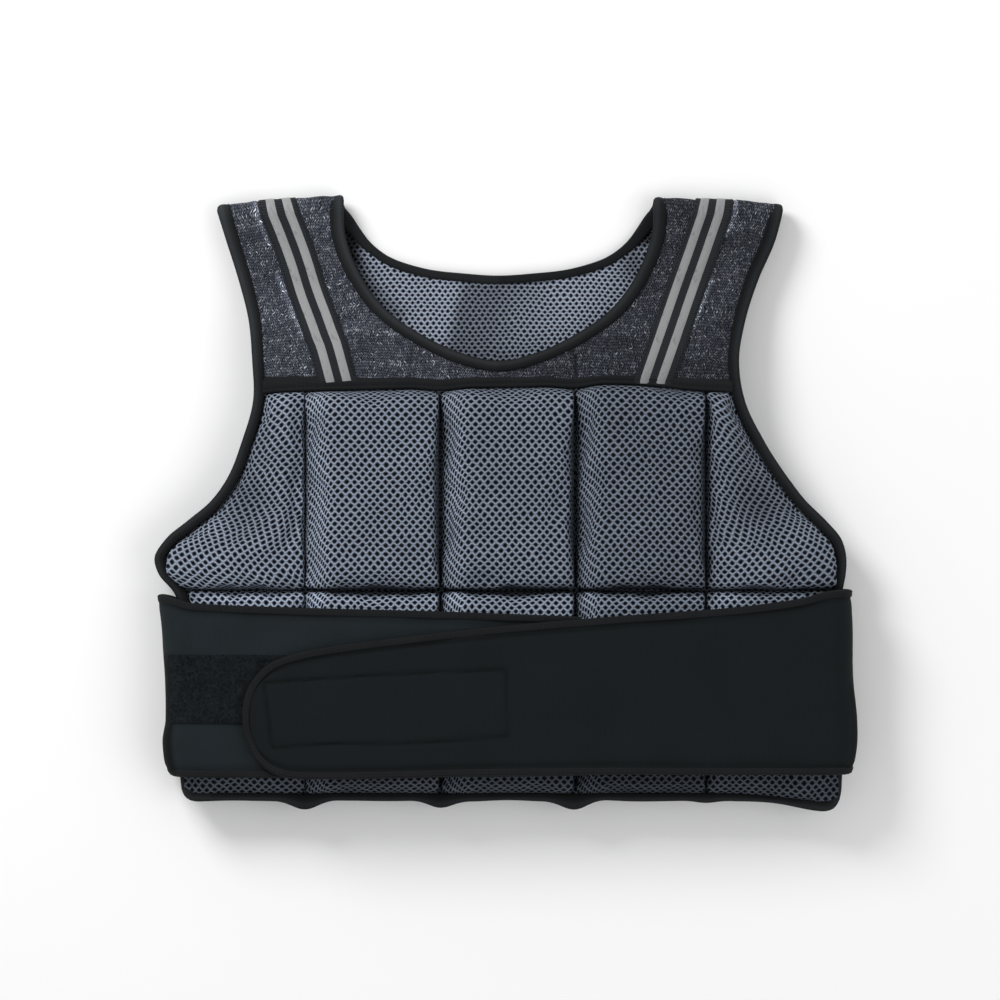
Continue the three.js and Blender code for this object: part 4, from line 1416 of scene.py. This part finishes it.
def belt_half(part, tone, seed):
    belt = belts[part]
    columns = belt.columns()
    x = belt.x(columns)
    top, low = belt.edges_y(x)
    middle = (top + low) / 2
    shrink = np.maximum(1 - belt_inset / np.maximum((top - low) / 2, belt_inset), 0)
    top = middle + (top - middle) * shrink
    low = middle + (low - middle) * shrink
    piece, share, (i, _) = flat_grid(f"belt_{part}_cloth", len(columns) - 1, 50)
    a, x, top, low = columns[i], x[i], top[i], low[i]
    y = low * (1 - share[:, 1]) + top * share[:, 1]
    rim = np.minimum(top - y, y - low)
    lift = 0.5 * ripples(a, y, 70, seed) - 0.8 * hump(rim, 6.5, 1.6)
    if part == "flap":
        on_front = ramp(a, belt.a(250), 20)
        box = on_front * near_line(x, y, stitch_box, 1.3)
        # Painted shade in the groove of the sewn box.
        tone = tone * (1 - 0.45 * box)
        lift = lift - 1.1 * box + 0.5 * on_front * near_line(x, y, [(-180, -166), (-10, -158)], 22)
    # Painted shade in the groove beside the rim.
    tone = tone * (1 - 0.5 * hump(rim, 6.3, 1.5))
    # Painted shade where the belt turns down round the sides.
    turned = ramp(np.abs(x), np.where(x < 0, 260.5, 269.5), 3)
    turned = turned * ramp(-y, np.where(x < 0, 118, 140), 8)
    mark_cloth(piece, a, y, tone * (1 - 0.85 * turned))
    edit(piece, bpy.ops.mesh.duplicate)
    half = belt_wall / 2
    outer = belt.lay(a, y, half + np.minimum(lift, 0.9) * np.clip(rim / 3, 0, 1))
    set_points(piece, MM * np.vstack([outer, belt.lay(a, y, -half)]))
    edit(piece, join_doubles, bridge_open_edges, face_outwards)
    done(piece, belt_foam, f"belt_{part}")


rim_section = [
    (5.6, 2.1), (5.7, 2.7), (5.0, 3.3), (3.6, 3.1), (2.4, 3.5), (1.2, 3.3), (0.35, 2.2),
    (0.0, 0.0), (0.35, -2.2), (1.2, -3.1), (3.6, -3.2), (5.3, -3.0), (5.6, -2.1), (1.3, -2.0),
    (1.1, 0.0), (1.3, 2.0),
]


def belt_rim(part):
    belt = belts[part]
    columns = belt.columns()
    top, low = (np.stack([columns, y], -1) for y in belt.edges_y(belt.x(columns)))
    lines = [np.vstack([top[:-1], low[::-1]])] if part == "flap" else [top, low[::-1]]
    pieces = []
    rows = []

    def lay(a, y, offset):
        return belt.lay(a, y, offset * (1 - 0.28 * ramp(np.abs(belt.x(a)), 245, 15)))

    for line in lines:
        line = evenly(line, 3.0)
        pieces.append(sweep(f"belt_{part}_edge", lay, line, rim_section))
        for inward, lift in ((3.7, 3.15), (1.7, 3.45), (3.7, -3.2)):
            rows.append(stitches(f"belt_{part}_edge_stitches", lay, line, inward, lift))
    done(join(pieces), edge_tape, f"belt_{part}_rim", angle=70)
    done(join(rows), thread)


def patch(name, belt, x_from, lower, upper, node, seed):
    """A patch of hook-and-loop along the belt to its middle, with a sewn border."""
    ends = sorted((float(belt.a(x_from)), float(belt.a(0.0))))
    line = np.stack([np.linspace(*ends, 80), np.full(80, down_to_y(0.8015))], -1)
    half = patch_half
    section = [(half, lower), (half, upper - 0.5), (half - 0.8, upper)]
    section += [(place, upper) for place in np.linspace(half - 3, 3 - half, 18)]
    section += [(0.8 - half, upper), (-half, upper - 0.5), (-half, lower)]

    def lay(a, y, offset):
        fuzz = 0.14 * ripples(a, y, 3.1, seed) * (offset > upper - 0.1)
        return belt.lay(a, y, offset + fuzz)

    done(sweep(name, lay, evenly(line, 1.6), section), loop_pile, node)


belt_half("base", 0.7, 62)
belt_half("flap", 0.38, 61)
belt_rim("base")
belt_rim("flap")
patch("loop_fastener", belts["base"], -265.0, 2.1, 3.5, "loop_patch", 71)
patch("hook_fastener", belts["flap"], -178.0, -2.2, -3.2, "hook_patch", 72)
flap = belts["flap"]
box_line = evenly([(float(flap.a(x)), y) for x, y in stitch_box], 1.0)
done(stitches("flap_box_stitches", flap.lay, box_line, 0, 1.6), thread)

# The floor, the light and the camera
bpy.ops.object.select_all(action="DESELECT")
bpy.ops.mesh.primitive_plane_add(size=12, location=(0, 0, -0.0002))
floor = added("floor")
paper = Finish("paper", "").surface((0.93, 0.93, 0.93, 1), 0.9)
floor.data.materials.append(paper.material)


def area_light(name, place, size, power, target=(0, 0, 0.03)):
    light = bpy.data.lights.new(name, "AREA")
    light.shape = "DISK"
    light.size = size
    light.energy = power
    lamp = bpy.data.objects.new(name, light)
    bpy.context.collection.objects.link(lamp)
    lamp.location = place
    aim = [goal - start for goal, start in zip(target, place)]
    flat = math.hypot(aim[0], aim[1])
    lamp.rotation_euler = (math.atan2(flat, -aim[2]), 0, math.atan2(-aim[0], aim[1]))


area_light("window", (-1.3, 1.5, 1.6), 1.1, 42)
area_light("fill", (1.4, -0.6, 2.2), 2.0, 16)
world = bpy.data.worlds.new("studio")
world.use_nodes = True
world.node_tree.nodes["Background"].inputs["Color"].default_value = (1, 1, 1, 1)
world.node_tree.nodes["Background"].inputs["Strength"].default_value = 0.55
bpy.context.scene.world = world
bpy.context.scene.view_settings.view_transform = "Standard"

bpy.ops.object.camera_add(location=(-4.74 * MM, 2.37 * MM, 6.04), rotation=(0, 0, 0))
camera = bpy.context.object
camera.data.sensor_width = 36
camera.data.lens = 36 * 6.0 / 0.79
camera.data.clip_end = 20
bpy.context.scene.camera = camera
